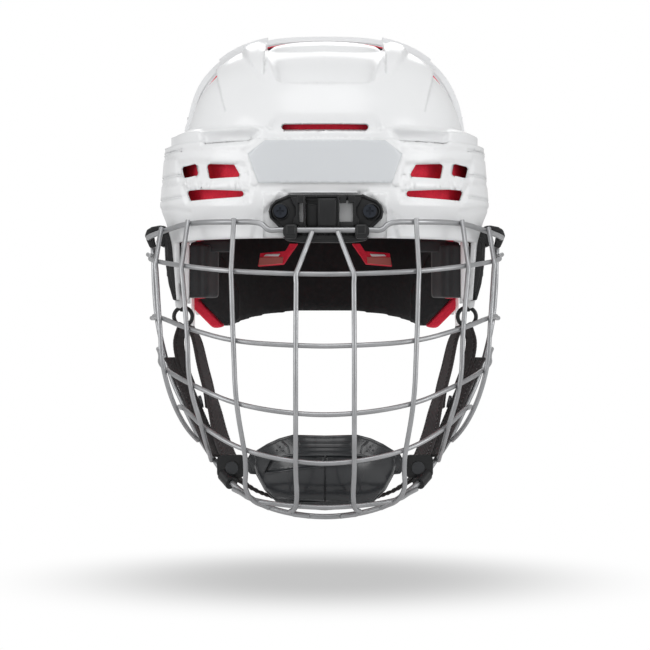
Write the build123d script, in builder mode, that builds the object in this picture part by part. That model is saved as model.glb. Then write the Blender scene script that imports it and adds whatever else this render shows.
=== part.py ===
from build123d import *
import math
import os

# An ice hockey helmet with a wire face guard, in millimetres.
# +X is the wearer's left, +Y the back of the head and +Z up. The origin is the centre of the
# wearer's head, level with the lower edge of the brow.
# Pieces are drawn on the wearer's left and mirrored to the right.

os.makedirs("parts", exist_ok=True)

# Overall sizes
band_half_width = 105.5
crown_height = 131.0
band_reach = 119.0
rear_reach = 110.0
middle_depth = -10.0
shell_wall = 3.0
overrun = 20.0
size_travel = 15.0

# The front view: places read from it are in its pixels, and these values turn them into sizes
eye_distance = 1500.0
axis_px, level_px, origin_px = 325.2, 325.0, 237.6
band_side_px, crown_px = 163.4, 37.0
px_across = band_half_width / (axis_px - band_side_px)
px_up = crown_height / (origin_px - crown_px)


def out(column, depth):
    """Distance from the mirror plane of a column of the front view, at this depth."""
    return (axis_px - column) * px_across * (1 + depth / eye_distance)


def up(row, depth):
    """Height of a row of the front view, at this depth."""
    eye_height = (origin_px - level_px) * px_up
    return eye_height + (level_px - row) * px_up * (1 + depth / eye_distance)


def round_share(step, steps, power):
    """Across and up shares of a superellipse's quarter, for one step along it."""
    angle = math.pi / 2 * step / steps
    return math.cos(angle) ** (2 / power), math.sin(angle) ** (2 / power)


arch_steps = 7


def bow(half_width, height, power, low):
    """Points of an arch from its right foot over the top to its left foot."""
    shares = [round_share(step, arch_steps, power) for step in range(arch_steps + 1)]
    right = [(half_width * across, low + height * rise) for across, rise in shares]
    left = [(-half_width * across, low + height * rise) for across, rise in reversed(shares[:-1])]
    return right + left


def arch(depth, half_width, height, power):
    """Upright cross section of the head's shape: straight sides under a round top."""
    points = bow(half_width, height, power, arch_level)
    with BuildSketch(Plane.XZ.offset(-depth)) as section:
        with BuildLine():
            Spline(*points, tangents=[(0, 1), (0, -1)])
            Polyline(points[-1], (-half_width, side_foot), (half_width, side_foot), points[0])
        make_face()
    return section.sketch


def plan(level, half_width, reach, stretch_end, middle=middle_depth, facing=-1):
    """Level cross section of a band: round at one end, straight sides, flat at the other end."""
    points = bow(half_width, reach, band_power, 0)
    with BuildSketch(Plane.XY.offset(level)) as section:
        with BuildLine():
            curve = [(x, middle + facing * y) for x, y in points]
            Spline(*curve, tangents=[(0, facing), (0, -facing)])
            Polyline(curve[-1], (-half_width, stretch_end), (half_width, stretch_end), curve[0])
        make_face()
    return section.sketch


# Shares of the reach at which a dome has a cross section
dome_shares = [0, 0.3, 0.52, 0.7, 0.83, 0.92, 0.97, 0.99]
front_end_power, rear_end_power = 2.3, 2.2


def dome(half_width, height, power, start, reach, facing, end_power):
    """Cross sections of a dome that closes towards the front or the rear."""
    sections = []
    for share in dome_shares:
        left = (1 - share**end_power) ** (1 / power)
        sections.append(arch(start + facing * share * reach, half_width * left, height * left, power))
    return sections


def smooth_route(points, first=None, last=None):
    """One wire of arcs that pass through every point and meet without a corner."""
    points = [Vector(*point) for point in points]
    steps = [after - before for before, after in zip(points, points[1:])]
    headings = [None] * len(points)
    for place in range(1, len(points) - 1):
        before, after = steps[place - 1], steps[place]
        heading = before.normalized() * after.length + after.normalized() * before.length
        headings[place] = heading.normalized()
    chord = steps[0].normalized()
    headings[0] = Vector(*first) if first else chord * (2 * chord.dot(headings[1])) - headings[1]
    chord = steps[-1].normalized()
    headings[-1] = Vector(*last) if last else chord * (2 * chord.dot(headings[-2])) - headings[-2]
    arcs = []
    for place, step in enumerate(steps):
        begin, end = headings[place], headings[place + 1]
        total = begin + end
        bend = 2 * (1 - begin.dot(end))
        pull = step.dot(total)
        if bend < straight_share:
            reach = step.dot(step) / (2 * pull)
        else:
            reach = (math.sqrt(pull**2 + bend * step.dot(step)) - pull) / bend
        joint = (points[place] + points[place + 1] + (begin - end) * reach) * 0.5
        heading = (points[place + 1] - end * reach) - (points[place] + begin * reach)
        arcs += arc(points[place], begin, joint)
        arcs += arc(joint, heading.normalized(), points[place + 1])
    return Wire(arcs)


straight_share = 1e-6


def arc(start, heading, end):
    """An arc, or a straight line where the heading already points at the end."""
    if heading.cross((end - start).normalized()).length < math.sqrt(straight_share):
        return [Edge.make_line(start, end)]
    return [Edge.make_tangent_arc(start, heading, end)]


def disc(route, diameter):
    """The round section of a wire at the start of its route."""
    with BuildSketch(Plane(route.position_at(0), z_dir=route.tangent_at(0))) as section:
        Circle(diameter / 2)
    return section.sketch


def keep(piece, name):
    """Name a finished piece and write its file."""
    piece.label = name
    export_step(piece, f"parts/{name}.step")


def keep_pair(piece, name):
    """Write a piece of the wearer's left and its mirror image on the right."""
    keep(piece, f"{name}_left")
    keep(mirror(piece, about=Plane.YZ), f"{name}_right")


# Front shell: a dome over a brow band, with a tongue that runs back under the rear shell
arch_level = 45.0
side_foot = -75.0
front_width, front_height, front_power = 90.0, 79.0, 2.35
front_reach = band_reach - 14.0
front_start = -16.0
lip_depth = -12.0
lip_gap = 1.0
tongue_width, tongue_height, tongue_power = 86.6, 79.5, 2.6
tongue_end = 32.0
band_power = 2.35
brow_edge = -5.0
temple_foot = -41.0
temple_width = 95.0
brow_width, brow_reach = 98.0, band_reach - 2.0
flare_level, flare_width = 8.0, 101.5
wide_level = 18.0
band_top, band_top_width, band_top_reach = 55.0, 102.5, band_reach - 2.0
band_end = -4.0
shoulder_top, shoulder_width, shoulder_top_width = 65.0, 98.3, 92.0
shoulder_reach = band_reach - 10.0
hood_top, hood_top_half, hood_foot_half, hood_depth = 59.4, 38.0, 50.0, 20.0
ridge_height, ridge_inner, ridge_outer = 3.6, 37.0, 56.0
groove_width, groove_depth = 1.4, 0.9
groove_levels = [50.5, 35.0, 21.0]
groove_end_half = 88.0
ear_edge = 0.0
temple_front = -46.0
temple_slope = 12.0

panel_rise, panel_low, panel_corner, panel_high = 0.8, 27.7, 45.7, 53.7
panel_low_half, panel_half, panel_top_half = 39.9, 46.6, 35.9
groove_taper_share = 0.08
vent_depth, vent_run, vent_corner = 92.0, 60.0, 1.6
slot_level, slot_length, slot_width = 62.4, 52.5, 3.6
seat_reach, seat_half, seat_top, seat_pad = band_reach + 8.4, 37.0, 22.0, 6.0
mount_screw_out, mount_screw_level, mount_screw_radius = 26.6, 10.7, 2.5
hole_clearance = 0.3
fit_gap = 0.05
hook_screw_depth, hook_screw_radius = -13.0, 2.0
hook_screw_level, anchor_screw_level, rivet_level = 0.5, -22.0, -34.0
size_screw_depth, size_screw_radius = 12.0, 2.0
size_head_radius, size_head_thick, size_head_sink = 4.6, 2.2, 1.2
size_nut_radius, size_nut_thick = 4.5, 2.6
size_screw_levels = [62.0, 75.0]
vent_rows = [
    [(179.6, 165.5), (196, 163.7), (198.7, 175.7), (182.8, 177.5)],
    [(207, 164.7), (235.6, 166.9), (242.7, 179.4), (210, 180.1)],
    [(185.7, 190.4), (200.4, 190.1), (243.7, 193.3), (245.9, 196.3), (243, 199.2), (190.1, 201)],
]

# Rear shell
rear_start = 30.0
rear_width, rear_height, rear_power = 91.0, 84.5, 2.8
rear_inner_width, rear_inner_height, rear_inner_power = 87.9, 81.4, 2.75
rear_ridge_height = 2.0
rear_band_start, rear_band_low, rear_band_top = -2.0, -2.0, 46.0
rear_band_slope, rear_band_rise = 6.0, 4.0
rear_band_foot, rear_band_width, rear_band_reach = 93.0, 101.0, rear_reach
ear_rear, rear_ear_foot, rear_side_foot, side_low_depth = 48.0, -35.0, -50.0, 68.0
nape_depth, nape_foot = 80.0, -42.0

band_levels = [
    (side_foot, temple_width - (temple_foot - side_foot) * 0.1, brow_reach),
    (temple_foot, temple_width, brow_reach),
    (brow_edge, brow_width, brow_reach),
    (flare_level, flare_width, brow_reach),
    (wide_level, band_half_width, band_reach),
    (band_top, band_top_width, band_top_reach),
]


def band(inset, top_inset, end):
    """Level sections of the brow band, or of its hollow."""
    sections = []
    for level, half_width, reach in band_levels:
        height = level - top_inset if level == band_top else level
        sections.append(plan(height, half_width - inset, reach - inset, end))
    return sections


with BuildPart() as front_ridges:
    loft(
        dome(
            front_width + ridge_height,
            front_height + ridge_height,
            front_power,
            front_start,
            front_reach - ridge_height,
            -1,
            front_end_power,
        )
    )
    with BuildSketch(Plane.XZ.offset(-(front_start - lip_gap))):
        with BuildLine():
            Polyline(
                (ridge_inner, band_top),
                (ridge_inner, crown_height),
                (ridge_outer + overrun, crown_height),
                (ridge_outer, band_top),
                close=True,
            )
        make_face()
        mirror(about=Plane.YZ)
    extrude(amount=front_reach, mode=Mode.INTERSECT)

with BuildPart() as brow_panel:
    raised_panel = plan(panel_low, band_half_width + panel_rise, band_reach + panel_rise, 0)
    extrude(raised_panel, amount=panel_high - panel_low)
    with BuildSketch(Plane.XZ):
        with BuildLine():
            Polyline(
                (panel_low_half, panel_low),
                (panel_half, panel_corner),
                (panel_top_half, panel_high),
                (-panel_top_half, panel_high),
                (-panel_half, panel_corner),
                (-panel_low_half, panel_low),
                close=True,
            )
        make_face()
    extrude(amount=band_reach * 2, mode=Mode.INTERSECT)

with BuildPart() as front_shell:
    loft(dome(front_width, front_height, front_power, front_start, front_reach, -1, front_end_power))
    add(front_ridges.part)
    extrude(
        arch(front_start, front_width, front_height, front_power),
        amount=lip_depth - lip_gap - front_start,
        dir=(0, 1, 0),
    )
    extrude(
        arch(front_start, tongue_width, tongue_height, tongue_power),
        amount=tongue_end - front_start,
        dir=(0, 1, 0),
    )
    loft(band(0, 0, band_end), ruled=True)
    loft(
        [
            plan(band_top - shell_wall, shoulder_width, shoulder_reach, band_end),
            plan(shoulder_top - shell_wall, shoulder_width, shoulder_reach, band_end),
            plan(shoulder_top, shoulder_top_width, shoulder_reach - shell_wall * 2, band_end),
        ],
        ruled=True,
    )
    with BuildSketch(Plane.XZ.offset(-middle_depth + brow_reach - hood_depth)):
        with BuildLine():
            Polyline(
                (hood_foot_half, band_top - shell_wall),
                (hood_top_half, hood_top),
                (-hood_top_half, hood_top),
                (-hood_foot_half, band_top - shell_wall),
                close=True,
            )
        make_face()
    extrude(amount=hood_depth)
    add(brow_panel.part)
    # The hollow
    loft(
        dome(
            front_width - shell_wall,
            front_height - shell_wall,
            front_power,
            front_start,
            front_reach - shell_wall,
            -1,
            front_end_power,
        ),
        mode=Mode.SUBTRACT,
    )
    loft(band(shell_wall, shell_wall, band_end - shell_wall), ruled=True, mode=Mode.SUBTRACT)
    extrude(
        arch(front_start, tongue_width - shell_wall, tongue_height - shell_wall, tongue_power),
        amount=tongue_end - front_start + overrun,
        dir=(0, 1, 0),
        mode=Mode.SUBTRACT,
    )
    # Lower edge: high over the face, low at the temples, high again over the ears
    with BuildSketch(Plane.YZ):
        with BuildLine():
            Polyline(
                (-band_reach - overrun, brow_edge),
                (temple_front, brow_edge),
                (temple_front + temple_slope, temple_foot),
                (band_end, temple_foot),
                (band_end, ear_edge),
                (tongue_end + overrun, ear_edge),
                (tongue_end + overrun, side_foot - overrun),
                (-band_reach - overrun, side_foot - overrun),
                close=True,
            )
        make_face()
    extrude(amount=band_half_width + overrun, both=True, mode=Mode.SUBTRACT)
    # Only the outer wall goes down at the temples
    with BuildSketch(Plane.XY.offset(ear_edge)):
        with Locations((0, band_end)):
            Rectangle((temple_width - shell_wall) * 2 - fit_gap, (overrun + shell_wall) * 2)
    extrude(amount=side_foot, mode=Mode.SUBTRACT)
    # Vents and the slot over the brow
    for rows in vent_rows:
        with BuildSketch(Plane.XZ.offset(vent_depth)) as vent:
            with BuildLine():
                corners = [(out(column, -vent_depth), up(row, -vent_depth)) for column, row in rows]
                Polyline(*corners, close=True)
            make_face()
            fillet(vent.vertices(), vent_corner)
            mirror(about=Plane.YZ)
        extrude(amount=vent_run, both=True, mode=Mode.SUBTRACT)
    with BuildSketch(Plane.XZ.offset(-front_start + front_reach)):
        with Locations((0, slot_level)):
            SlotOverall(slot_length, slot_width)
    extrude(amount=overrun, both=True, mode=Mode.SUBTRACT)
    # Side grooves
    for level in groove_levels:
        with BuildSketch(Plane.XY.offset(level)):
            add(plan(level, band_half_width + overrun, band_reach + overrun, band_end + overrun))
            inner = band_half_width - groove_depth - (abs(level - wide_level) * groove_taper_share)
            add(plan(level, inner, band_reach, band_end + overrun), mode=Mode.SUBTRACT)
            Rectangle(groove_end_half * 2, band_reach * 4, mode=Mode.SUBTRACT)
        extrude(amount=groove_width, mode=Mode.SUBTRACT)
    # Flat seat of the guard's bracket, and its screw holes
    with BuildSketch(Plane.XZ.offset(seat_reach)) as seat:
        with Locations((0, (seat_top + brow_edge) / 2)):
            Rectangle(seat_half * 2, seat_top - brow_edge)
    extrude(amount=overrun, mode=Mode.SUBTRACT)
    extrude(seat.sketch, amount=-seat_pad)
    with BuildSketch(Plane.XZ.offset(seat_reach)):
        with Locations((mount_screw_out, mount_screw_level), (-mount_screw_out, mount_screw_level)):
            Circle(mount_screw_radius + hole_clearance)
    extrude(amount=overrun, both=True, mode=Mode.SUBTRACT)
    # Holes for the hook screws and slots for the size screws
    with BuildSketch(Plane.YZ):
        for level in (hook_screw_level, anchor_screw_level, rivet_level):
            with Locations((hook_screw_depth, level)):
                Circle(hook_screw_radius + hole_clearance)
        with Locations(*[(size_screw_depth + size_travel / 2, level) for level in size_screw_levels]):
            SlotCenterToCenter(size_travel, (size_screw_radius + hole_clearance) * 2)
    extrude(amount=band_half_width + overrun, both=True, mode=Mode.SUBTRACT)
keep(front_shell.part, "front_shell")

def wall_at(level, half_width, height, power):
    """How far out a dome's wall is at this height."""
    return half_width * (1 - ((level - arch_level) / height) ** power) ** (1 / power)


def head_seat(level):
    """How far out the head of a size screw rests in the rear shell."""
    return wall_at(level, rear_width, rear_height, rear_power) - size_head_sink


# Rear shell: laps over the tongue and slides along it to set the size
ridged_height, ridged_reach = rear_height + rear_ridge_height, rear_reach - rear_ridge_height
rear_edge_reach = rear_band_reach - rear_band_rise
with BuildPart() as rear_ridges:
    extrude(
        arch(lip_depth, rear_width, ridged_height, rear_power),
        amount=rear_start - lip_depth,
        dir=(0, 1, 0),
    )
    loft(dome(rear_width, ridged_height, rear_power, rear_start, ridged_reach, 1, rear_end_power))
    with BuildSketch(Plane.XZ.offset(-lip_depth)):
        with BuildLine():
            Polyline(
                (ridge_inner, band_top),
                (ridge_inner, crown_height + overrun),
                (ridge_outer + overrun, crown_height + overrun),
                (ridge_outer, band_top),
                close=True,
            )
        make_face()
        mirror(about=Plane.YZ)
    extrude(amount=-rear_reach * 2, mode=Mode.INTERSECT)

with BuildPart() as rear_shell:
    extrude(
        arch(lip_depth, rear_width, rear_height, rear_power),
        amount=rear_start - lip_depth,
        dir=(0, 1, 0),
    )
    loft(dome(rear_width, rear_height, rear_power, rear_start, rear_reach, 1, rear_end_power))
    add(rear_ridges.part)
    levels = [
        (rear_band_low, rear_band_foot, rear_edge_reach),
        (rear_band_low + rear_band_slope, rear_band_width, rear_band_reach),
        (rear_band_top, rear_band_width, rear_band_reach),
        (rear_band_top + rear_band_slope, rear_width - shell_wall, rear_edge_reach),
    ]
    loft([plan(*level, rear_band_start, rear_start, 1) for level in levels], ruled=True)
    # The hollow
    extrude(
        arch(lip_depth, rear_inner_width, rear_inner_height, rear_inner_power),
        amount=rear_start - lip_depth,
        dir=(0, 1, 0),
        mode=Mode.SUBTRACT,
    )
    loft(
        dome(
            rear_inner_width,
            rear_inner_height,
            rear_inner_power,
            rear_start,
            rear_reach - shell_wall,
            1,
            rear_end_power,
        ),
        mode=Mode.SUBTRACT,
    )
    # Clear of the brow band in front, and open over the ears
    with BuildSketch(Plane.YZ):
        with BuildLine():
            Polyline(
                (lip_depth - overrun, shoulder_top + lip_gap),
                (rear_band_start, shoulder_top + lip_gap),
                (rear_band_start, ear_edge),
                (ear_rear, ear_edge),
                (ear_rear, rear_ear_foot),
                (side_low_depth, rear_side_foot),
                (nape_depth, rear_side_foot),
                (rear_start + rear_reach, nape_foot),
                (rear_start + rear_reach + overrun, nape_foot),
                (rear_start + rear_reach + overrun, side_foot - overrun),
                (lip_depth - overrun, side_foot - overrun),
                close=True,
            )
        make_face()
    extrude(amount=band_half_width + overrun, both=True, mode=Mode.SUBTRACT)
    for level in size_screw_levels:
        with BuildSketch(Plane.YZ):
            with Locations((size_screw_depth, level)):
                Circle(size_screw_radius + hole_clearance)
        extrude(amount=band_half_width + overrun, both=True, mode=Mode.SUBTRACT)
        for side in (1, -1):
            with BuildSketch(Plane.YZ.offset(side * head_seat(level))):
                with Locations((size_screw_depth, level)):
                    Circle(size_head_radius + hole_clearance)
            extrude(amount=side * overrun, mode=Mode.SUBTRACT)
keep(rear_shell.part, "rear_shell")

# Base foam of the front half, with a pocket for each nut of the bracket
foam_gap = 0.3
foam_front_gap = 3.5
front_foam_width, front_foam_height, front_foam_power = 83.0, 75.4, 2.38
front_foam_end, foam_foot = 6.0, 1.0
band_foam_inset, foam_front_inset, band_foam_top = 8.0, 2.0, 48.0
cavity_width, cavity_height, cavity_reach, cavity_power = 74.5, 67.0, front_reach - 12.0, 2.4
nut_pocket = 7.0
with BuildPart() as front_base_foam:
    extrude(
        arch(front_start, front_foam_width, front_foam_height, front_foam_power),
        amount=front_foam_end - front_start,
        dir=(0, 1, 0),
    )
    loft(
        dome(
            front_foam_width,
            front_foam_height,
            front_foam_power,
            front_start,
            front_reach - shell_wall - foam_front_gap,
            -1,
            front_end_power,
        )
    )
    inset, front_inset = band_foam_inset, band_foam_inset + foam_front_inset
    foam_end = band_end - shell_wall - foam_gap
    loft(
        [
            plan(foam_foot, brow_width - inset, brow_reach - front_inset, foam_end),
            plan(wide_level, band_half_width - inset, band_reach - front_inset, foam_end),
            plan(band_foam_top, band_top_width - inset, band_top_reach - front_inset, foam_end),
        ],
        ruled=True,
    )
    extrude(
        arch(front_start, cavity_width, cavity_height, cavity_power),
        amount=front_foam_end - front_start + overrun,
        dir=(0, 1, 0),
        mode=Mode.SUBTRACT,
    )
    loft(
        dome(cavity_width, cavity_height, cavity_power, front_start, cavity_reach, -1, front_end_power),
        mode=Mode.SUBTRACT,
    )
    with BuildSketch(Plane.XY.offset(foam_foot)):
        Rectangle(band_half_width * 3, band_reach * 3)
    extrude(amount=side_foot - overrun, mode=Mode.SUBTRACT)
    with BuildSketch(Plane.XZ.offset(band_reach)):
        with Locations((mount_screw_out, mount_screw_level), (-mount_screw_out, mount_screw_level)):
            Circle(nut_pocket)
    extrude(amount=-overrun, mode=Mode.SUBTRACT)
keep(front_base_foam.part, "front_base_foam")

# Forehead pad and crown pad, inside the base foam
pad_thick = 6.0
brow_pad_foot, brow_pad_top, brow_pad_end = 2.0, 38.0, -52.0
with BuildPart() as brow_pad:
    for inset, mode in ((foam_gap, Mode.ADD), (pad_thick, Mode.SUBTRACT)):
        loft(
            dome(
                cavity_width - inset,
                cavity_height - inset,
                cavity_power,
                front_start,
                cavity_reach - inset,
                -1,
                front_end_power,
            ),
            mode=mode,
        )
    with BuildSketch(Plane.XY.offset(brow_pad_foot)):
        with Locations((0, brow_pad_end - band_reach / 2)):
            Rectangle(band_half_width * 2, band_reach)
    extrude(amount=brow_pad_top - brow_pad_foot, mode=Mode.INTERSECT)
keep(brow_pad.part, "brow_pad")

crown_pad_low, crown_pad_half_length, crown_pad_half = 88.0, 34.0, 40.0
with BuildPart() as crown_pad:
    for inset, mode in ((foam_gap, Mode.ADD), (pad_thick, Mode.SUBTRACT)):
        extrude(
            arch(front_start, cavity_width - inset, cavity_height - inset, cavity_power),
            amount=front_foam_end - front_start,
            dir=(0, 1, 0),
            mode=mode,
        )
        loft(
            dome(
                cavity_width - inset,
                cavity_height - inset,
                cavity_power,
                front_start,
                cavity_reach - inset,
                -1,
                front_end_power,
            ),
            mode=mode,
        )
    with BuildSketch(Plane.XY.offset(crown_pad_low)):
        with Locations((0, front_foam_end - crown_pad_half_length)):
            RectangleRounded(crown_pad_half * 2, crown_pad_half_length * 2, pad_thick)
    extrude(amount=crown_height, mode=Mode.INTERSECT)
keep(crown_pad.part, "crown_pad")

# Temple pads: soft blocks inside the temple extensions, with a slanted front
temple_pad_in, temple_pad_out, temple_pad_front, temple_pad_back = 68.0, 93.0, -52.0, -22.0
temple_pad_low, temple_pad_high, temple_pad_slant = -39.7, -6.5, 12.0
with BuildPart() as temple_pad:
    with BuildSketch(Plane.XY.offset(temple_pad_low)) as outline:
        with BuildLine():
            Polyline(
                (temple_pad_out, temple_pad_front + temple_pad_slant / 2),
                (temple_pad_out - temple_pad_slant / 2, temple_pad_front),
                (temple_pad_in + temple_pad_slant / 2, temple_pad_front),
                (temple_pad_in, temple_pad_front + temple_pad_slant),
                (temple_pad_in, temple_pad_back),
                (temple_pad_out, temple_pad_back),
                close=True,
            )
        make_face()
        fillet(outline.vertices(), shell_wall / 2)
    extrude(amount=temple_pad_high - temple_pad_low)
    loft(band(shell_wall + foam_gap, shell_wall, temple_pad_back + overrun), mode=Mode.INTERSECT)
keep_pair(temple_pad.part, "temple_pad")

# Rear half: base foam against the shell, liner inside it
rear_foam_start, rear_cavity_width, rear_cavity_height = 34.0, 81.5, 73.5
foam_proud = 6.0
rear_cavity_reach, rear_cavity_power, rear_liner_thick = rear_reach - 10.0, 2.5, 11.5
liner_side_depth, liner_side_foot, liner_nape_foot, liner_top = 68.0, -57.5, -44.6, 60.0
with BuildPart() as rear_base_foam:
    loft(
        dome(
            rear_inner_width - foam_gap,
            rear_inner_height - foam_gap,
            rear_inner_power,
            rear_start,
            rear_reach - shell_wall - foam_gap,
            1,
            rear_end_power,
        )
    )
    loft(
        dome(
            rear_cavity_width,
            rear_cavity_height,
            rear_cavity_power,
            rear_start,
            rear_cavity_reach,
            1,
            rear_end_power,
        ),
        mode=Mode.SUBTRACT,
    )
    with BuildSketch(Plane.YZ):
        with BuildLine():
            Polyline(
                (rear_foam_start, crown_height + overrun),
                (rear_foam_start, ear_edge + foam_gap),
                (ear_rear - foam_gap, ear_edge + foam_gap),
                (ear_rear - foam_gap, rear_ear_foot - foam_proud / 2),
                (side_low_depth, rear_side_foot - foam_proud),
                (nape_depth, rear_side_foot - foam_proud / 2),
                (rear_start + rear_reach, nape_foot),
                (rear_start + rear_reach, crown_height + overrun),
                close=True,
            )
        make_face()
    extrude(amount=band_half_width, both=True, mode=Mode.INTERSECT)
keep(rear_base_foam.part, "rear_base_foam")

with BuildPart() as rear_liner:
    for inset, mode in ((foam_gap, Mode.ADD), (rear_liner_thick, Mode.SUBTRACT)):
        loft(
            dome(
                rear_cavity_width - inset,
                rear_cavity_height - inset,
                rear_cavity_power,
                rear_start,
                rear_cavity_reach - inset,
                1,
                rear_end_power,
            ),
            mode=mode,
        )
    with BuildSketch(Plane.YZ):
        with BuildLine():
            Polyline(
                (rear_foam_start + foam_gap, liner_top),
                (rear_foam_start + foam_gap, ear_edge),
                (ear_rear - foam_gap * 2, rear_ear_foot - foam_proud / 2),
                (liner_side_depth, liner_side_foot),
                (liner_side_depth + temple_slope, liner_side_foot),
                (rear_start + rear_cavity_reach, liner_nape_foot),
                (rear_start + rear_cavity_reach, liner_top),
                close=True,
            )
        make_face()
    extrude(amount=band_half_width, both=True, mode=Mode.INTERSECT)
keep(rear_liner.part, "rear_liner")

# Size screws hold the two halves together through the tongue's slots


nut_gap = 0.3


def nut_seat(level):
    """How far out the face of a size nut is, inside the tongue."""
    high = level + size_nut_radius
    return wall_at(high, tongue_width - shell_wall, tongue_height - shell_wall, tongue_power) - nut_gap


with BuildPart() as size_screws:
    for level in size_screw_levels:
        with BuildSketch(Plane.YZ.offset(head_seat(level))):
            with Locations((size_screw_depth, level)):
                Circle(size_head_radius)
        extrude(amount=size_head_thick)
        start = nut_seat(level) - size_nut_thick
        with BuildSketch(Plane.YZ.offset(start)):
            with Locations((size_screw_depth, level)):
                Circle(size_screw_radius)
        extrude(amount=head_seat(level) - start)
    mirror(about=Plane.YZ)
keep(size_screws.part, "size_screws")

with BuildPart() as size_nuts:
    for level in size_screw_levels:
        with BuildSketch(Plane.YZ.offset(nut_seat(level))):
            with Locations((size_screw_depth, level)):
                RegularPolygon(size_nut_radius, 6)
                Circle(size_screw_radius + fit_gap, mode=Mode.SUBTRACT)
        extrude(amount=-size_nut_thick)
    mirror(about=Plane.YZ)
keep(size_nuts.part, "size_nuts")

# Bracket in the middle of the brow. The guard's top wire turns in its two jaws
wire_diameter, frame_wire_diameter = 2.9, 3.3
bracket_half, bracket_top, bracket_foot, bracket_thick = 34.0, 20.9, -7.5, 5.0
bracket_bar_half, bracket_shoulder, bracket_shoulder_level = 21.5, 30.0, 17.0
window_half, window_low, window_high = 17.0, 1.2, 15.6
bracket_front = seat_reach + bracket_thick
jaw_lead = 3.6
hinge_reach = bracket_front + jaw_lead
hinge_level = up(230, -hinge_reach)
jaw_in, jaw_out, jaw_wall, jaw_gap = 16.5, 25.0, 2.3, 0.09
rail_sink, rail_back, rail_thick = 1.6, 1.4, 2.0
with BuildPart() as mount_bracket:
    with BuildSketch(Plane.XZ.offset(seat_reach)) as outline:
        with BuildLine():
            Polyline(
                (0, bracket_top),
                (bracket_bar_half, bracket_top),
                (bracket_bar_half + rail_thick, bracket_shoulder_level),
                (bracket_shoulder, bracket_shoulder_level),
                (bracket_half, bracket_shoulder_level - shell_wall),
                (bracket_half, window_low),
                (bracket_shoulder, bracket_foot),
                (0, bracket_foot),
                close=True,
            )
        make_face()
        mirror(about=Plane.YZ)
        with Locations((0, (window_low + window_high) / 2)):
            Rectangle(window_half * 2, window_high - window_low, mode=Mode.SUBTRACT)
        with Locations((mount_screw_out, mount_screw_level), (-mount_screw_out, mount_screw_level)):
            Circle(mount_screw_radius + hole_clearance, mode=Mode.SUBTRACT)
    extrude(amount=bracket_thick)
    # Grooves that the lock slider runs in
    with BuildSketch(Plane.XZ.offset(seat_reach + rail_back)):
        with Locations((0, (window_low + window_high) / 2)):
            Rectangle(window_half * 2, window_high - window_low + rail_sink * 2)
    extrude(amount=rail_thick, mode=Mode.SUBTRACT)
    # Jaws
    with BuildSketch(Plane.YZ.offset(jaw_in)):
        with Locations((-hinge_reach, hinge_level)):
            Circle(frame_wire_diameter / 2 + jaw_wall)
        with Locations(((-hinge_reach - bracket_front) / 2 + fit_gap, hinge_level)):
            Rectangle(hinge_reach - bracket_front + fit_gap * 2, frame_wire_diameter + jaw_wall * 2)
        with Locations((-hinge_reach, hinge_level)):
            Circle(frame_wire_diameter / 2 + jaw_gap, mode=Mode.SUBTRACT)
    jaw = extrude(amount=jaw_out - jaw_in)
    mirror(jaw, about=Plane.YZ)
keep(mount_bracket.part, "mount_bracket")

mount_head_radius, mount_head_thick, mount_nut_radius, mount_nut_thick = 4.0, 2.4, 4.0, 2.6
cross_length, cross_width, cross_depth = 4.6, 1.1, 1.2
with BuildPart() as mount_screws:
    with BuildSketch(Plane.XZ.offset(bracket_front)):
        with Locations((mount_screw_out, mount_screw_level), (-mount_screw_out, mount_screw_level)):
            Circle(mount_head_radius)
    extrude(amount=mount_head_thick)
    nut_reach = seat_reach - seat_pad
    with BuildSketch(Plane.XZ.offset(nut_reach - mount_nut_thick)):
        with Locations((mount_screw_out, mount_screw_level), (-mount_screw_out, mount_screw_level)):
            Circle(mount_screw_radius)
    extrude(amount=bracket_front - nut_reach + mount_nut_thick)
    with BuildSketch(Plane.XZ.offset(bracket_front + mount_head_thick)):
        with Locations((mount_screw_out, mount_screw_level), (-mount_screw_out, mount_screw_level)):
            Rectangle(cross_length, cross_width)
            Rectangle(cross_width, cross_length)
    extrude(amount=-cross_depth, mode=Mode.SUBTRACT)
keep(mount_screws.part, "mount_screws")

with BuildPart() as mount_nuts:
    with BuildSketch(Plane.XZ.offset(nut_reach - nut_gap)):
        with Locations((mount_screw_out, mount_screw_level), (-mount_screw_out, mount_screw_level)):
            RegularPolygon(mount_nut_radius, 6)
            Circle(mount_screw_radius + fit_gap, mode=Mode.SUBTRACT)
    extrude(amount=-mount_nut_thick + nut_gap)
keep(mount_nuts.part, "mount_nuts")

# Lock slider: its flange runs in the bracket's grooves
slider_middle, slider_width, slider_gap, slider_rise = 1.9, 12.4, 0.15, 1.4
with BuildPart() as lock_slider:
    window_middle = (window_low + window_high) / 2
    with BuildSketch(Plane.XZ.offset(seat_reach + rail_back + slider_gap)):
        with Locations((slider_middle, window_middle)):
            Rectangle(slider_width, window_high - window_low + (rail_sink - slider_gap) * 2)
    extrude(amount=rail_thick - slider_gap * 2)
    with BuildSketch(Plane.XZ.offset(seat_reach + rail_back + slider_gap)):
        with Locations((slider_middle, window_middle)):
            Rectangle(slider_width, window_high - window_low - slider_gap * 2)
    extrude(amount=bracket_thick - rail_back + slider_rise)
keep(lock_slider.part, "lock_slider")

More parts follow.
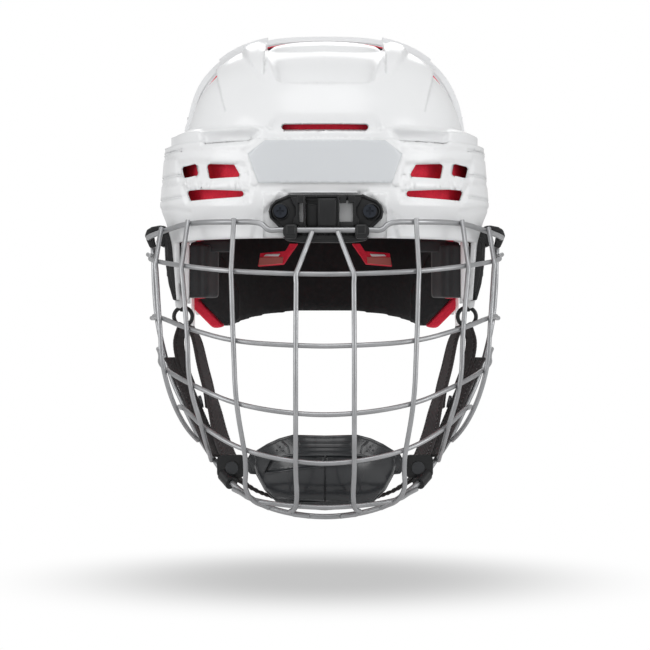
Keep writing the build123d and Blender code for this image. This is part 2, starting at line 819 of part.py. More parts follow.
# Strap anchors: tapered plastic pieces screwed to the temples, with an arm for the strap ring
anchor_top, anchor_front, anchor_back = 7.0, -24.0, -2.0
anchor_out, anchor_out_foot, anchor_waist = 104.6, 100.5, -20.0
anchor_gap = 0.2
ring_out, ring_depth, ring_level, ring_radius, ring_thick = 91.7, -13.0, -51.6, 5.9, 2.6
ring_top = ring_level + ring_radius
eye_half, eye_gap = 1.6, 0.5
ear_plate_in, ear_plate_thick = 87.2, 2.0
arm_low = ring_top - ring_thick / 2 - shell_wall
arm_length = temple_width - ring_out + eye_half
swing_room = (ring_top - arm_low) / 2
with BuildPart() as strap_anchor:
    with BuildSketch(Plane.XZ.offset(-anchor_back)):
        with BuildLine():
            Polyline(
                (flare_width + anchor_gap, anchor_top),
                (brow_width + anchor_gap, brow_edge),
                (temple_width + anchor_gap, temple_foot),
                (temple_width + anchor_gap, temple_foot - anchor_gap),
                (ring_out - eye_half, temple_foot - anchor_gap),
                (ring_out - eye_half, arm_low),
                (anchor_out_foot, arm_low),
                (anchor_out, anchor_waist),
                (anchor_out, anchor_top),
                close=True,
            )
        make_face()
    extrude(amount=anchor_back - anchor_front)
    # The arm is narrower than the body and holds the ring at its end
    with BuildSketch(Plane.XY.offset(temple_foot)):
        with Locations((ring_out - eye_half, anchor_front)):
            Rectangle(arm_length * 2, (ring_depth - eye_half * 2 - anchor_front) * 2)
        with Locations((ring_out - eye_half, anchor_back)):
            Rectangle(arm_length * 2, (anchor_back - ring_depth - eye_half * 2 - swing_room) * 2)
    extrude(amount=-overrun, mode=Mode.SUBTRACT)
    with BuildSketch(Plane.YZ.offset(ring_out - overrun)):
        with Locations((ring_depth, ring_top)):
            Circle(ring_thick / 2 + eye_gap)
    extrude(amount=overrun + eye_half, mode=Mode.SUBTRACT)
    with BuildSketch(Plane.YZ):
        with Locations((hook_screw_depth, hook_screw_level), (hook_screw_depth, anchor_screw_level)):
            Circle(hook_screw_radius + hole_clearance)
    extrude(amount=band_half_width, mode=Mode.SUBTRACT)
    # Room for the ring, and behind it for its swing
    with BuildSketch(Plane.XZ.offset(-(ring_depth + ring_thick / 2 + eye_gap + swing_room))):
        with Locations((ring_out, ring_level)):
            Circle(ring_radius + ring_thick / 2 + eye_gap)
            Circle(ring_radius - ring_thick / 2 - eye_gap, mode=Mode.SUBTRACT)
    extrude(amount=ring_thick + eye_gap * 2 + swing_room, mode=Mode.SUBTRACT)
keep_pair(strap_anchor.part, "strap_anchor")

# Hooks for the guard's side wires: an upside-down U over the wire, open below
hook_front, hook_leg_back, hook_back = -34.0, -22.0, -8.0
hook_foot, hook_top, hook_plate = -6.8, 7.9, 2.3
side_wire_out, side_wire_level = 111.8, -1.6
leg_in, leg_out, slot_gap, hook_shoulder = 108.5, 115.2, 0.2, 4.2
with BuildPart() as side_hook:
    plate_in = anchor_out + fit_gap
    with BuildSketch(Plane.XZ.offset(-hook_back)):
        with Locations((plate_in + hook_plate / 2, (hook_foot + hook_top) / 2)):
            Rectangle(hook_plate, hook_top - hook_foot)
    extrude(amount=hook_back - hook_front)
    with BuildSketch(Plane.XZ.offset(-hook_leg_back)):
        with BuildLine():
            Polyline(
                (plate_in, hook_top),
                (leg_out - hook_plate / 2, hook_top),
                (leg_out + hook_plate, hook_shoulder),
                (leg_out, hook_foot),
                (leg_in, hook_foot),
                (leg_in, hook_shoulder),
                (plate_in, hook_top - hook_plate),
                close=True,
            )
        make_face()
        slot_half = frame_wire_diameter / 2 + slot_gap
        with Locations((side_wire_out, side_wire_level)):
            Circle(slot_half, mode=Mode.SUBTRACT)
        with Locations((side_wire_out, side_wire_level - overrun / 2)):
            Rectangle(slot_half * 2, overrun, mode=Mode.SUBTRACT)
    extrude(amount=hook_leg_back - hook_front)
    with BuildSketch(Plane.YZ):
        with Locations((hook_screw_depth, hook_screw_level)):
            Circle(hook_screw_radius + hole_clearance)
    extrude(amount=band_half_width + overrun, mode=Mode.SUBTRACT)
keep_pair(side_hook.part, "side_hook")

# Screws and nuts of the hooks and anchors, and the rivets of the ear guards
screw_head_radius, screw_head_thick, side_nut_radius, side_nut_thick = 3.6, 2.0, 4.0, 2.4
hook_head_in = anchor_out + fit_gap + hook_plate
hook_nut_out = 94.0
with BuildPart() as side_screws:
    for level, head_in, nut_out in (
        (hook_screw_level, hook_head_in, hook_nut_out),
        (anchor_screw_level, anchor_out, ear_plate_in - fit_gap),
    ):
        with BuildSketch(Plane.YZ.offset(head_in)):
            with Locations((hook_screw_depth, level)):
                Circle(screw_head_radius)
        extrude(amount=screw_head_thick)
        with BuildSketch(Plane.YZ.offset(nut_out - side_nut_thick)):
            with Locations((hook_screw_depth, level)):
                Circle(hook_screw_radius)
        extrude(amount=head_in - nut_out + side_nut_thick)
    mirror(about=Plane.YZ)
keep(side_screws.part, "side_screws")

with BuildPart() as side_nuts:
    for level, nut_out in ((hook_screw_level, hook_nut_out), (anchor_screw_level, ear_plate_in - fit_gap)):
        with BuildSketch(Plane.YZ.offset(nut_out)):
            with Locations((hook_screw_depth, level)):
                RegularPolygon(side_nut_radius, 6)
                Circle(hook_screw_radius + fit_gap, mode=Mode.SUBTRACT)
        extrude(amount=-side_nut_thick)
    mirror(about=Plane.YZ)
keep(side_nuts.part, "side_nuts")

ear_front, ear_back, ear_top, ear_low, ear_bar = -18.0, 44.0, -14.0, -64.0, 10.0
ear_length, ear_tall, ear_corner = ear_back - ear_front, ear_top - ear_low, 14.0
ear_ring_back, ear_ring_top = ring_depth + ring_radius * 2, ring_top + ring_thick
with BuildPart() as ear_guard:
    with BuildSketch(Plane.YZ.offset(ear_plate_in)):
        with Locations(((ear_front + ear_back) / 2, (ear_top + ear_low) / 2)):
            RectangleRounded(ear_length, ear_tall, ear_corner)
            RectangleRounded(
                ear_length - ear_bar * 2, ear_tall - ear_bar * 2, ear_bar / 2, mode=Mode.SUBTRACT
            )
        with Locations((hook_screw_depth, anchor_screw_level), (hook_screw_depth, rivet_level)):
            Circle(hook_screw_radius + hole_clearance, mode=Mode.SUBTRACT)
        # Open at the lower front, where the strap ring swings
        with Locations((ear_front, ear_low)):
            Rectangle((ear_ring_back - ear_front) * 2, (ear_ring_top - ear_low) * 2, mode=Mode.SUBTRACT)
    extrude(amount=ear_plate_thick)
keep_pair(ear_guard.part, "ear_guard")

rivet_head_radius, rivet_head_thick = 3.4, 1.3
with BuildPart() as ear_rivets:
    with BuildSketch(Plane.YZ.offset(ear_plate_in - rivet_head_thick)):
        with Locations((hook_screw_depth, rivet_level)):
            Circle(rivet_head_radius)
    extrude(amount=rivet_head_thick)
    with BuildSketch(Plane.YZ.offset(ear_plate_in)):
        with Locations((hook_screw_depth, rivet_level)):
            Circle(hook_screw_radius)
    extrude(amount=temple_width - ear_plate_in)
    mirror(about=Plane.YZ)
keep(ear_rivets.part, "ear_rivets")

# Face guard: a closed frame wire, five cross wires and four uprights a side
# Columns and rows of the front view, with the share of the guard's reach at each
guard_reach, guard_bow_power = band_reach + 39.0, 2.3
hinge_share = hinge_reach / guard_reach
frame_px = [
    (271, 230.2, 0.86),
    (259.5, 223.2, 0.845),
    (254, 222.3, 0.837),
    (236.6, 222, 0.806),
    (191.9, 223.5, 0.625),
    (165.5, 230.6, 0.415),
]
jaw_px = [
    (153.7, 255, 0.012),
    (154.6, 285, 0.03),
    (157.4, 318, 0.055),
    (163.8, 350, 0.1),
    (172, 378, 0.158),
    (184.7, 406.8, 0.24),
    (201.9, 441, 0.375),
    (214.7, 460, 0.455),
    (228, 478.5, 0.54),
    (241.5, 490.5, 0.61),
    (264.4, 505, 0.7),
    (295, 513.5, 0.76),
]
frame_foot_px = (325.2, 516.2, 0.78)
side_wire_back, side_wire_drop = -10.0, 8.5


def at(column, row, share):
    """A point of the front view at a share of the guard's reach."""
    depth = -guard_reach * share
    return Vector(out(column, depth), depth, up(row, depth))


frame_points = [
    Vector(across, -hinge_reach, hinge_level) for across in (0, jaw_in, jaw_out, jaw_out + wire_diameter)
]
frame_points += [at(*place) for place in frame_px]
straight_depths = [hook_front - overrun / 2, hook_front - anchor_gap, hook_leg_back, side_wire_back]
frame_points += [Vector(side_wire_out, depth, side_wire_level) for depth in straight_depths]
frame_points += [
    Vector(side_wire_out, side_wire_back + side_wire_drop, side_wire_level - side_wire_drop),
]
jaw_points = [at(*place) for place in jaw_px]
frame_points += jaw_points + [at(*frame_foot_px)]
frame_route = smooth_route(frame_points, (1, 0, 0), (-1, 0, 0))

with BuildPart() as guard_frame_wire:
    sweep(disc(frame_route, frame_wire_diameter), path=frame_route)
    mirror(about=Plane.YZ)
keep(guard_frame_wire.part, "guard_frame_wire")

# Each cross wire: its place on the frame, how far it stays short of the reach, and its spots
cross_px = [
    (0, 10.0, [(160.5, 262), (185.5, 266), (233.7, 271), (297.5, 273.6), (325.2, 274)]),
    (2, 2.0, [(164.2, 318.8), (190.7, 329), (235.9, 340.5), (297, 345.3), (325.2, 346)]),
    (3, 0, [(168.8, 371), (194.6, 385.5), (239.5, 403.7), (297, 413.2), (325.2, 414.5)]),
    (5, 8.0, [(188.5, 412), (206, 428), (247, 450), (297, 461), (325.2, 463)]),
    (9, 28.0, [(256.7, 500), (297, 505.8), (325.2, 507)]),
]
weld_sink = 0.05
cross_apart = (frame_wire_diameter + wire_diameter) / 2 - weld_sink
upright_apart = wire_diameter - weld_sink
wire_tail = 5.0
cross_points = []
for place, short, spots in cross_px:
    reach = guard_reach - short
    frame_point = jaw_points[place]
    sideways = Vector(frame_point.X, frame_point.Y * (1 + frame_point.Y / guard_reach), 0).normalized()
    end = frame_point + sideways * cross_apart
    points = [end]
    for column, row in spots:
        depth = -reach
        for _ in range(arch_steps):
            width_left = max(0, 1 - (out(column, depth) / end.X) ** guard_bow_power)
            depth = end.Y + (-reach - end.Y) * width_left ** (1 / guard_bow_power)
        points.append(Vector(out(column, depth), depth, up(row, depth)))
    cross_points.append(points)

for number, points in enumerate(cross_points, 1):
    first = points[0] - (points[1] - points[0]).normalized() * wire_tail
    route = smooth_route([first] + points, None, (-1, 0, 0))
    with BuildPart() as cross_wire:
        sweep(disc(route, wire_diameter), path=route)
        mirror(about=Plane.YZ)
    keep(cross_wire.part, f"guard_cross_wire_{number}")


def forward(wire, place):
    """A point of a cross wire, moved out by one wire so that an upright touches it there."""
    points = cross_points[wire]
    before, after = points[place - 1], points[min(place + 1, len(points) - 1)]
    along = after - before
    outward = Vector(-along.Y, along.X, 0).normalized()
    if outward.Y > 0:
        outward = outward * -1
    return points[place] + outward * upright_apart


def on_frame(point, toward, rise=0):
    """A point beside the frame wire, on the side that faces outwards, one wire from its middle."""
    middle = frame_route.distance_to_with_closest_points(point)[1]
    along = frame_route.tangent_at(middle)
    outward = Vector(toward, -1, rise)
    outward = (outward - along * outward.dot(along)).normalized()
    return middle + outward * cross_apart


def elbow(points, place):
    """The same points with one more close by on each side of a bend, so that the wire bends there."""
    before = points[place] + (points[place - 1] - points[place]) * bend_share
    after = points[place] + (points[place + 1] - points[place]) * bend_share
    return points[:place] + [before, points[place], after] + points[place + 1:]


bend_share, upright_tail, end_drop = 0.16, 2.0, 0.45
foot_px = [(269.5, 507.5, 0.712), (301, 514.7, 0.766), (308, 515.6, 0.768)]
feet = [at(*place) for place in foot_px]
top_points = frame_points[6:]
uprights = [
    [on_frame(top_points[3], 1)] + [forward(wire, 1) for wire in (0, 1, 2)]
    + [on_frame(jaw_points[6], 0.6)],
    [on_frame(top_points[2], 0.6)] + [forward(0, 2), forward(1, 2), forward(2, 2), forward(3, 2)]
    + [on_frame(jaw_points[7], 0.4)],
    [on_frame(top_points[1], 0.2)] + [forward(0, 3), forward(1, 3), forward(2, 3), forward(3, 3)]
    + [forward(4, 1), on_frame(feet[0], 0)],
    [on_frame(at(312.3, 230, hinge_share), 0, -end_drop)] + [forward(0, 4), forward(1, 4), forward(2, 4)]
    + [forward(3, 4), forward(4, 2), on_frame(jaw_points[11], 0)]
    + [on_frame(foot, 0) for foot in feet[1:]],
]
upright_routes = []
for number, points in enumerate(uprights, 1):
    spots = elbow(points, 1)
    # The outer ones end at the frame, where a longer foot would meet a cross wire
    if number > 1:
        spots = spots + [points[-1] + (points[-1] - points[-2]).normalized() * upright_tail]
    # The middle ones end at the hinge, where a longer end would meet the lock slider
    if number < len(uprights):
        spots = [points[0] + (points[0] - points[1]).normalized() * upright_tail] + spots
    route = smooth_route(spots)
    upright_routes.append(route)
    with BuildPart() as upright:
        sweep(disc(route, wire_diameter), path=route)
    keep(upright.part, f"guard_upright_{number}_left")
    keep(mirror(upright.part, about=Plane.YZ), f"guard_upright_{number}_right")

# Chin cup: a dished shell with a foam lining, between two tabs that clip round the frame wire
cup_half, cup_reach, cup_middle, cup_end = 41.0, 36.0, -80.0, -62.0
cup_top, cup_foot, cup_wall, cup_foam = -128.0, -166.0, 2.6, 5.0
tab_out, tab_in, tab_low, tab_high, tab_back, tab_front = 66.5, 49.5, -151.0, -137.0, -80.0, -84.0
pin_depth, pin_level, pin_radius, arm_half, arm_thick = -82.0, -144.5, 2.0, 5.0, 3.0
cup_shares = [(0, 1.0, 1.0), (0.4, 0.98, 0.94), (0.72, 0.82, 0.76), (0.92, 0.58, 0.5), (1, 0.4, 0.34)]


def cup_sections(inset, rise):
    """Level sections of the cup from its rim down."""
    height = cup_top - cup_foot - rise
    sections = []
    for drop_share, half_share, reach_share in cup_shares:
        half = cup_half * half_share - inset
        reach = cup_reach * reach_share - inset
        sections.append(plan(cup_top - drop_share * height, half, reach, cup_end, cup_middle))
    return sections


with BuildPart() as chin_cup:
    loft(cup_sections(0, 0))
    with BuildSketch(Plane.YZ.offset(cup_half - cup_wall)):
        with Locations((pin_depth, pin_level)):
            Circle(arm_half)
    ear = extrude(amount=cup_wall + anchor_gap + arm_thick)
    mirror(ear, about=Plane.YZ)
    loft(cup_sections(cup_wall, cup_wall), mode=Mode.SUBTRACT)
    with BuildSketch(Plane.YZ.offset(cup_half)):
        with Locations((pin_depth, pin_level)):
            Circle(pin_radius + fit_gap)
    bore = extrude(amount=overrun, mode=Mode.SUBTRACT)
    mirror(bore, about=Plane.YZ, mode=Mode.SUBTRACT)
keep(chin_cup.part, "chin_cup")

with BuildPart() as chin_cup_foam:
    loft(cup_sections(cup_wall + foam_gap, cup_wall + foam_gap))
    loft(cup_sections(cup_wall + cup_foam, cup_wall + cup_foam), mode=Mode.SUBTRACT)
keep(chin_cup_foam.part, "chin_cup_foam")

# The tabs carry the pins that the cup's ears turn on
snap_radius, snap_thick, snap_out, snap_level = 4.0, 1.6, 57.3, -145.0
with BuildPart() as chin_tab:
    with BuildSketch(Plane.XZ.offset(-tab_back)) as outline:
        with Locations(((tab_out + tab_in) / 2, (tab_low + tab_high) / 2)):
            RectangleRounded(tab_out - tab_in, tab_high - tab_low, arm_thick)
    extrude(amount=tab_back - tab_front)
    with BuildSketch(Plane.YZ.offset(cup_half + anchor_gap)):
        with Locations((pin_depth, pin_level)):
            Circle(pin_radius)
    extrude(amount=tab_in - cup_half)
    # Clip round the frame wire
    clip_point = jaw_points[8]
    with BuildSketch(Plane(clip_point, z_dir=jaw_points[9] - jaw_points[7])):
        Circle(frame_wire_diameter / 2 + cup_wall)
    extrude(amount=arm_half, both=True)
    sweep(disc(frame_route, frame_wire_diameter + anchor_gap * 2), path=frame_route, mode=Mode.SUBTRACT)
    # Seat of the snap
    with BuildSketch(Plane.XZ.offset(-tab_front)):
        with Locations((snap_out, snap_level)):
            Circle(snap_radius + fit_gap)
    extrude(amount=overrun, mode=Mode.SUBTRACT)
keep_pair(chin_tab.part, "chin_tab")

with BuildPart() as tab_snaps:
    with BuildSketch(Plane.XZ.offset(-tab_front)):
        with Locations((snap_out, snap_level), (-snap_out, snap_level)):
            Circle(snap_radius)
    extrude(amount=snap_thick)
keep(tab_snaps.part, "tab_snaps")

# Rings of the chin strap, and the webbing
with BuildPart() as strap_ring:
    with BuildSketch(Plane.XY.offset(ring_level)):
        with Locations((ring_out + ring_radius, ring_depth)):
            Circle(ring_thick / 2)
    revolve(axis=Axis((ring_out, ring_depth, ring_level), (0, 1, 0)), revolution_arc=360)
keep_pair(strap_ring.part, "strap_ring")


def strap_plane(start, end, lift=0):
    """Plane of a strap's section at its start: local x is the strap's width."""
    along = (end - start).normalized()
    width = Vector(0, -along.Z, along.Y).normalized()
    side = along.cross(width).normalized()
    if side.X < 0:
        side = side * -1
    return Plane(start + side * lift, x_dir=width, z_dir=along)


def strap_section(plane):
    """The flat section of a strap on this plane."""
    with BuildSketch(plane) as section:
        Rectangle(webbing_width, webbing_thick)
    return section.sketch


webbing_width, webbing_thick, webbing_gap, snap_inset = 13.0, 1.8, 0.3, 7.0
strap_start = Vector(ring_out, ring_depth, ring_level - ring_radius + ring_thick * 1.2)
strap_end = Vector(out(210, -45), -48, up(409, -45))
strap_length = (strap_end - strap_start).length
with BuildPart() as chin_strap:
    with BuildSketch(strap_plane(strap_start, strap_end)):
        Rectangle(webbing_width, webbing_thick)
    extrude(amount=strap_length)
    with BuildSketch(Plane.XY.offset(ring_level)):
        with Locations((ring_out + ring_radius, ring_depth)):
            Circle(ring_thick / 2 + webbing_gap)
    revolve(axis=Axis((ring_out, ring_depth, ring_level), (0, 1, 0)), revolution_arc=360, mode=Mode.SUBTRACT)
keep_pair(chin_strap.part, "chin_strap")

# The lower strap of the guard laps outside the chin strap and snaps to it
lap = webbing_thick + webbing_gap
lap_plane = strap_plane(strap_start, strap_end, lap)
lap_start = lap_plane.origin + lap_plane.z_dir * (strap_length - snap_inset * 2)
lap_end = Vector(tab_out, tab_back + webbing_gap * 12, tab_high + webbing_gap * 2)
with BuildPart() as guard_lower_strap:
    with BuildSketch(Plane(lap_start, x_dir=lap_plane.x_dir, z_dir=lap_plane.z_dir)):
        Rectangle(webbing_width, webbing_thick)
    extrude(amount=snap_inset * 2)
    turn = lap_start + lap_plane.z_dir * snap_inset * 2
    last_plane = strap_plane(turn, lap_end).offset((lap_end - turn).length)
    first_plane = Plane(turn, x_dir=lap_plane.x_dir, z_dir=lap_plane.z_dir)
    loft([strap_section(first_plane), strap_section(last_plane)])
    sweep(disc(frame_route, frame_wire_diameter + webbing_gap * 2), path=frame_route, mode=Mode.SUBTRACT)
keep_pair(guard_lower_strap.part, "guard_lower_strap")

snap_middle = lap_start + lap_plane.z_dir * snap_inset
snap_side = strap_plane(strap_start, strap_end, 1).origin - strap_start
with BuildPart() as guard_snap:
    with BuildSketch(Plane(snap_middle + snap_side * (webbing_thick / 2 + fit_gap), z_dir=snap_side)):
        Circle(snap_radius)
    extrude(amount=snap_thick)
keep_pair(guard_snap.part, "guard_snap")

with BuildPart() as strap_snap:
    with BuildSketch(Plane(snap_middle - snap_side * (lap + webbing_thick / 2 + fit_gap), z_dir=snap_side)):
        Circle(snap_radius)
    extrude(amount=-snap_thick)
keep_pair(strap_snap.part, "strap_snap")

# Guard straps run from the frame wire to the tabs, the cup strap from tab to tab
beside_wire = (frame_wire_diameter + webbing_thick) / 2 + webbing_gap * 2
guard_strap_start = jaw_points[4] - Vector(beside_wire, 0, 0)
guard_strap_end = lap_end + Vector(webbing_thick * 2, 0, webbing_thick)
with BuildPart() as guard_strap:
    with BuildSketch(strap_plane(guard_strap_start, guard_strap_end)):
        Rectangle(webbing_width, webbing_thick)
    extrude(amount=(guard_strap_end - guard_strap_start).length)
    sweep(disc(frame_route, frame_wire_diameter + webbing_gap * 2), path=frame_route, mode=Mode.SUBTRACT)
    # Clear of the second upright, which passes close by
    near_route = upright_routes[1]
    sweep(disc(near_route, wire_diameter + webbing_gap * 2), path=near_route, mode=Mode.SUBTRACT)
keep_pair(guard_strap.part, "guard_strap")

cup_strap_drop, cup_strap_front = 21.0, -76.0
with BuildPart() as cup_strap:
    with BuildSketch(Plane.XZ.offset(-cup_strap_front)):
        with BuildLine():
            ThreePointArc(
                (tab_out - arm_thick, tab_low - webbing_gap),
                (0, tab_low - cup_strap_drop),
                (-tab_out + arm_thick, tab_low - webbing_gap),
            )
            Line((-tab_out + arm_thick, tab_low - webbing_gap), (-tab_out, tab_low - webbing_gap))
            ThreePointArc(
                (-tab_out, tab_low - webbing_gap),
                (0, tab_low - cup_strap_drop - webbing_thick),
                (tab_out, tab_low - webbing_gap),
            )
            Line((tab_out, tab_low - webbing_gap), (tab_out - arm_thick, tab_low - webbing_gap))
        make_face()
    extrude(amount=-webbing_width)
keep(cup_strap.part, "cup_strap")
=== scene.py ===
import math

import bmesh
import bpy
from bpy.props import FloatProperty, FloatVectorProperty, PointerProperty
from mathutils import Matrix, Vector


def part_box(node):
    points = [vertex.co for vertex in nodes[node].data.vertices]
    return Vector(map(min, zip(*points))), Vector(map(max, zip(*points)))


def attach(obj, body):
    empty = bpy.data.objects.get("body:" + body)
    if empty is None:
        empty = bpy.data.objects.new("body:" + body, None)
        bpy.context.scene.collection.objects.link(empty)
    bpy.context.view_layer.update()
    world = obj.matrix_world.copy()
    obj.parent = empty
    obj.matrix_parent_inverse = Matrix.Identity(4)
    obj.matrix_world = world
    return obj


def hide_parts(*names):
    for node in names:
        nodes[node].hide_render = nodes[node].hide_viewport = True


bl_info = {
    "name": "Hockey Helmet Looks",
    "version": (1, 0, 0),
    "blender": (4, 5, 0),
    "location": "3D View > Sidebar > Helmet",
    "description": (
        "Dresses the packed helmet with its finishes, foams, webbing and chin cup, and lights it"
    ),
    "category": "Object",
}

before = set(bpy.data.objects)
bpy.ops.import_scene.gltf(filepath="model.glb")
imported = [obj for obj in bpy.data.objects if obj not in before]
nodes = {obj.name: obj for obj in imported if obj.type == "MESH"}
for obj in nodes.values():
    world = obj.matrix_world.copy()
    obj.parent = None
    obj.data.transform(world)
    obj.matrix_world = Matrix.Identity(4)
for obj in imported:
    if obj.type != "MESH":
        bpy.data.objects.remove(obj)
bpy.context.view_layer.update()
MM = 0.001
# The camera in metres, the size of a picture's pixel at the ears' depth, and the picture's middle
CAMERA_DISTANCE, CAMERA_HEIGHT = 1.5, -0.057
PIXEL, PIXEL_MIDDLE, PIXEL_ROW = 0.652 * MM, 325.2, 325
SIDES = ((1, "left"), (-1, "right"))
WHITE = (1, 1, 1, 1)
FAR = 1e9


def screen(red, green, blue):
    """A colour as it looks on a screen, 0 to 255 a channel, as scene values."""
    shares = []
    for channel in (red, green, blue):
        share = channel / 255
        shares.append(share / 12.92 if share <= 0.04045 else ((share + 0.055) / 1.055) ** 2.4)
    return tuple(shares)


def colour_property(name, description, default):
    return FloatVectorProperty(
        name=name, description=description, subtype="COLOR", size=3, min=0, max=1, default=default
    )


def length_property(name, description, default, low=0.0, high=2.0):
    return FloatProperty(
        name=name,
        description=description,
        subtype="DISTANCE",
        unit="LENGTH",
        default=default,
        min=low,
        max=high,
        precision=4,
    )


def number_property(name, description, default, low=0, high=FAR, subtype="NONE"):
    return FloatProperty(
        name=name, description=description, default=default, min=low, max=high, subtype=subtype
    )


class HelmetFinishes(bpy.types.PropertyGroup):
    """Colours and surface of the helmet's materials"""

    shell: colour_property("Shell", "White of the two shells", screen(238, 239, 240))
    # Front panel: a light grey painted over the panel in the middle of the brow, darker than the shell's
    # white
    panel: colour_property("Front panel", "Pale grey of the bare front panel", screen(214, 217, 220))
    foam_red: colour_property("Red foam", "Red of the base foam", screen(255, 46, 76))
    foam_black: colour_property("Black foam", "Black of the liner", screen(26, 26, 28))
    pad: colour_property("Pads", "Charcoal of the temple pads", screen(42, 43, 45))
    wire: colour_property("Wires", "Silver paint of the guard", screen(176, 177, 179))
    fitting: colour_property("Fittings", "Black of the moulded fittings", screen(17, 18, 20))
    cup: colour_property("Chin cup", "Dark plastic of the chin cup", screen(36, 38, 41))
    webbing: colour_property("Webbing", "Brown black of the straps", screen(30, 24, 25))
    shell_roughness: number_property("Shell roughness", "How dull the plastic is", 0.34, 0, 1, "FACTOR")


class HelmetSoftSizes(bpy.types.PropertyGroup):
    """Sizes of the foams and straps"""

    foam_voxel: length_property("Foam detail", "Mesh size of the foams", 2.2 * MM, 1 * MM, 8 * MM)
    pad_voxel: length_property("Pad detail", "Mesh size of the small pads", 1.3 * MM, 0.8 * MM, 6 * MM)
    webbing_width: length_property("Webbing width", "Width of the straps", 13 * MM, 5 * MM, 30 * MM)
    webbing_thick: length_property("Webbing thickness", "Thickness of straps", 1.7 * MM, 0.5 * MM, 4 * MM)


class HelmetStage(bpy.types.PropertyGroup):
    """Camera, floor and light"""

    camera_distance: length_property(
        "Camera distance", "From the ears to the camera", CAMERA_DISTANCE, 0.5, 5
    )
    camera_height: length_property("Camera height", "Height of the camera", CAMERA_HEIGHT, -1, 1)
    lens: number_property("Lens", "Focal length in millimetres", 127.4, 20, 300)
    floor_height: length_property("Floor height", "Height of the floor", -0.222, -1, 1)
    key_power: number_property("Key light", "Power of the main soft light", 10.8)
    side_power: number_property("Side lights", "Power of the side soft lights", 7.4)
    fill: number_property("Fill", "Strength of the light all round", 0.5)


# Small helpers for meshes


def linked(mesh, name):
    piece = bpy.data.objects.new(name, mesh)
    bpy.context.scene.collection.objects.link(piece)
    return piece


def merged_copy(node, name):
    """A copy of a CAD node's mesh with its loose triangles joined."""
    mesh = nodes[node].data.copy()
    mesh.materials.clear()
    work = bmesh.new()
    work.from_mesh(mesh)
    bmesh.ops.remove_doubles(work, verts=work.verts, dist=0.02 * MM)
    work.to_mesh(mesh)
    work.free()
    return linked(mesh, name)


def even_out(work, points, rounds):
    for _ in range(rounds):
        bmesh.ops.smooth_vert(
            work, verts=points, factor=0.5, use_axis_x=True, use_axis_y=True, use_axis_z=True
        )


def soften(piece, voxel, rounds):
    """Remeshes a solid evenly and rounds its edges, as a mould does to foam."""
    remesh = piece.modifiers.new("even", "REMESH")
    remesh.mode = "VOXEL"
    remesh.voxel_size = voxel
    bpy.ops.object.select_all(action="DESELECT")
    piece.select_set(True)
    bpy.context.view_layer.objects.active = piece
    bpy.ops.object.modifier_apply(modifier=remesh.name)
    work = bmesh.new()
    work.from_mesh(piece.data)
    even_out(work, work.verts, rounds)
    work.to_mesh(piece.data)
    work.free()
    piece.data.shade_smooth()


def shade_crisp(piece, degrees):
    """Shades a piece smooth, but keeps corners sharp that turn by more than this."""
    piece.data.shade_smooth()
    piece.data.set_sharp_from_angle(angle=math.radians(degrees))


# Places in the picture: the helmet was drawn from a front view, 650 pixels a side


def place(column, row, depth, side=None):
    """The point seen at this pixel, at this depth in millimetres. With a side, column is at the
    left of the picture and the point goes to that side of the helmet, 1 for the wearer's left."""
    scale = PIXEL * (1 + depth * MM / CAMERA_DISTANCE)
    across = (column - PIXEL_MIDDLE) * scale
    if side is not None:
        across *= -side
    return Vector((across, depth * MM, CAMERA_HEIGHT - (row - PIXEL_ROW) * scale))


def pixel_of(point):
    """Where a point is seen in the picture: column at its left half, and row."""
    scale = PIXEL * (1 + point.y / CAMERA_DISTANCE)
    return PIXEL_MIDDLE - abs(point.x) / scale, PIXEL_ROW + (CAMERA_HEIGHT - point.z) / scale


def mirrored(outline, side, middle=PIXEL_MIDDLE):
    """An outline as it is for side 1, or on the other side of the middle."""
    return [(column if side > 0 else 2 * middle - column, row) for column, row in outline]


def rectangle(left, top, right, low):
    return [(left, top), (right, top), (right, low), (left, low)]


def segment_distance(one, two, column, row):
    """Distance in pixels from a pixel to a straight line between two others."""
    (c1, r1), (c2, r2) = one, two
    dc, dr = c2 - c1, r2 - r1
    share = max(0, min(1, ((column - c1) * dc + (row - r1) * dr) / (dc * dc + dr * dr)))
    return math.hypot(column - c1 - share * dc, row - r1 - share * dr)


def inside_distance(outline, column, row):
    """Distance in pixels to an outline, above zero inside it."""
    nearest, inside = FAR, False
    for one, two in zip(outline, outline[1:] + outline[:1]):
        nearest = min(nearest, segment_distance(one, two, column, row))
        if (one[1] > row) != (two[1] > row):
            inside ^= column < (two[0] - one[0]) * (row - one[1]) / (two[1] - one[1]) + one[0]
    return nearest if inside else -nearest


def step_up(value, low, high):
    share = max(0, min(1, (value - low) / (high - low)))
    return share * share * (3 - 2 * share)


def joined(name, meshes):
    """One object from several bmeshes."""
    mesh = bpy.data.meshes.new(name)
    total = bmesh.new()
    for work in meshes:
        work.normal_update()
        part = bpy.data.meshes.new("part")
        work.to_mesh(part)
        work.free()
        total.from_mesh(part)
        bpy.data.meshes.remove(part)
    total.to_mesh(mesh)
    total.free()
    return linked(mesh, name)


def slab(outline, front, back, bevel, side=None):
    """A prism from an outline in pixels, its front and back depths and its rounding in millimetres."""
    points = [place(column, row, front, side) for column, row in outline]
    work = bmesh.new()
    near = [work.verts.new(point) for point in points]
    far = [work.verts.new((point.x, back * MM, point.z)) for point in points]
    work.faces.new(near)
    work.faces.new(far[::-1])
    for number in range(len(points)):
        after = (number + 1) % len(points)
        work.faces.new((near[after], near[number], far[number], far[after]))
    bmesh.ops.recalc_face_normals(work, faces=work.faces)
    bmesh.ops.bevel(
        work,
        geom=work.edges[:],
        offset=bevel * MM,
        segments=2,
        profile=0.5,
        affect="EDGES",
        clamp_overlap=True,
    )
    return work


def slabs(rows, side=None):
    """Slabs from rows of outline, front, back and bevel."""
    return [slab(*row, side) for row in rows]


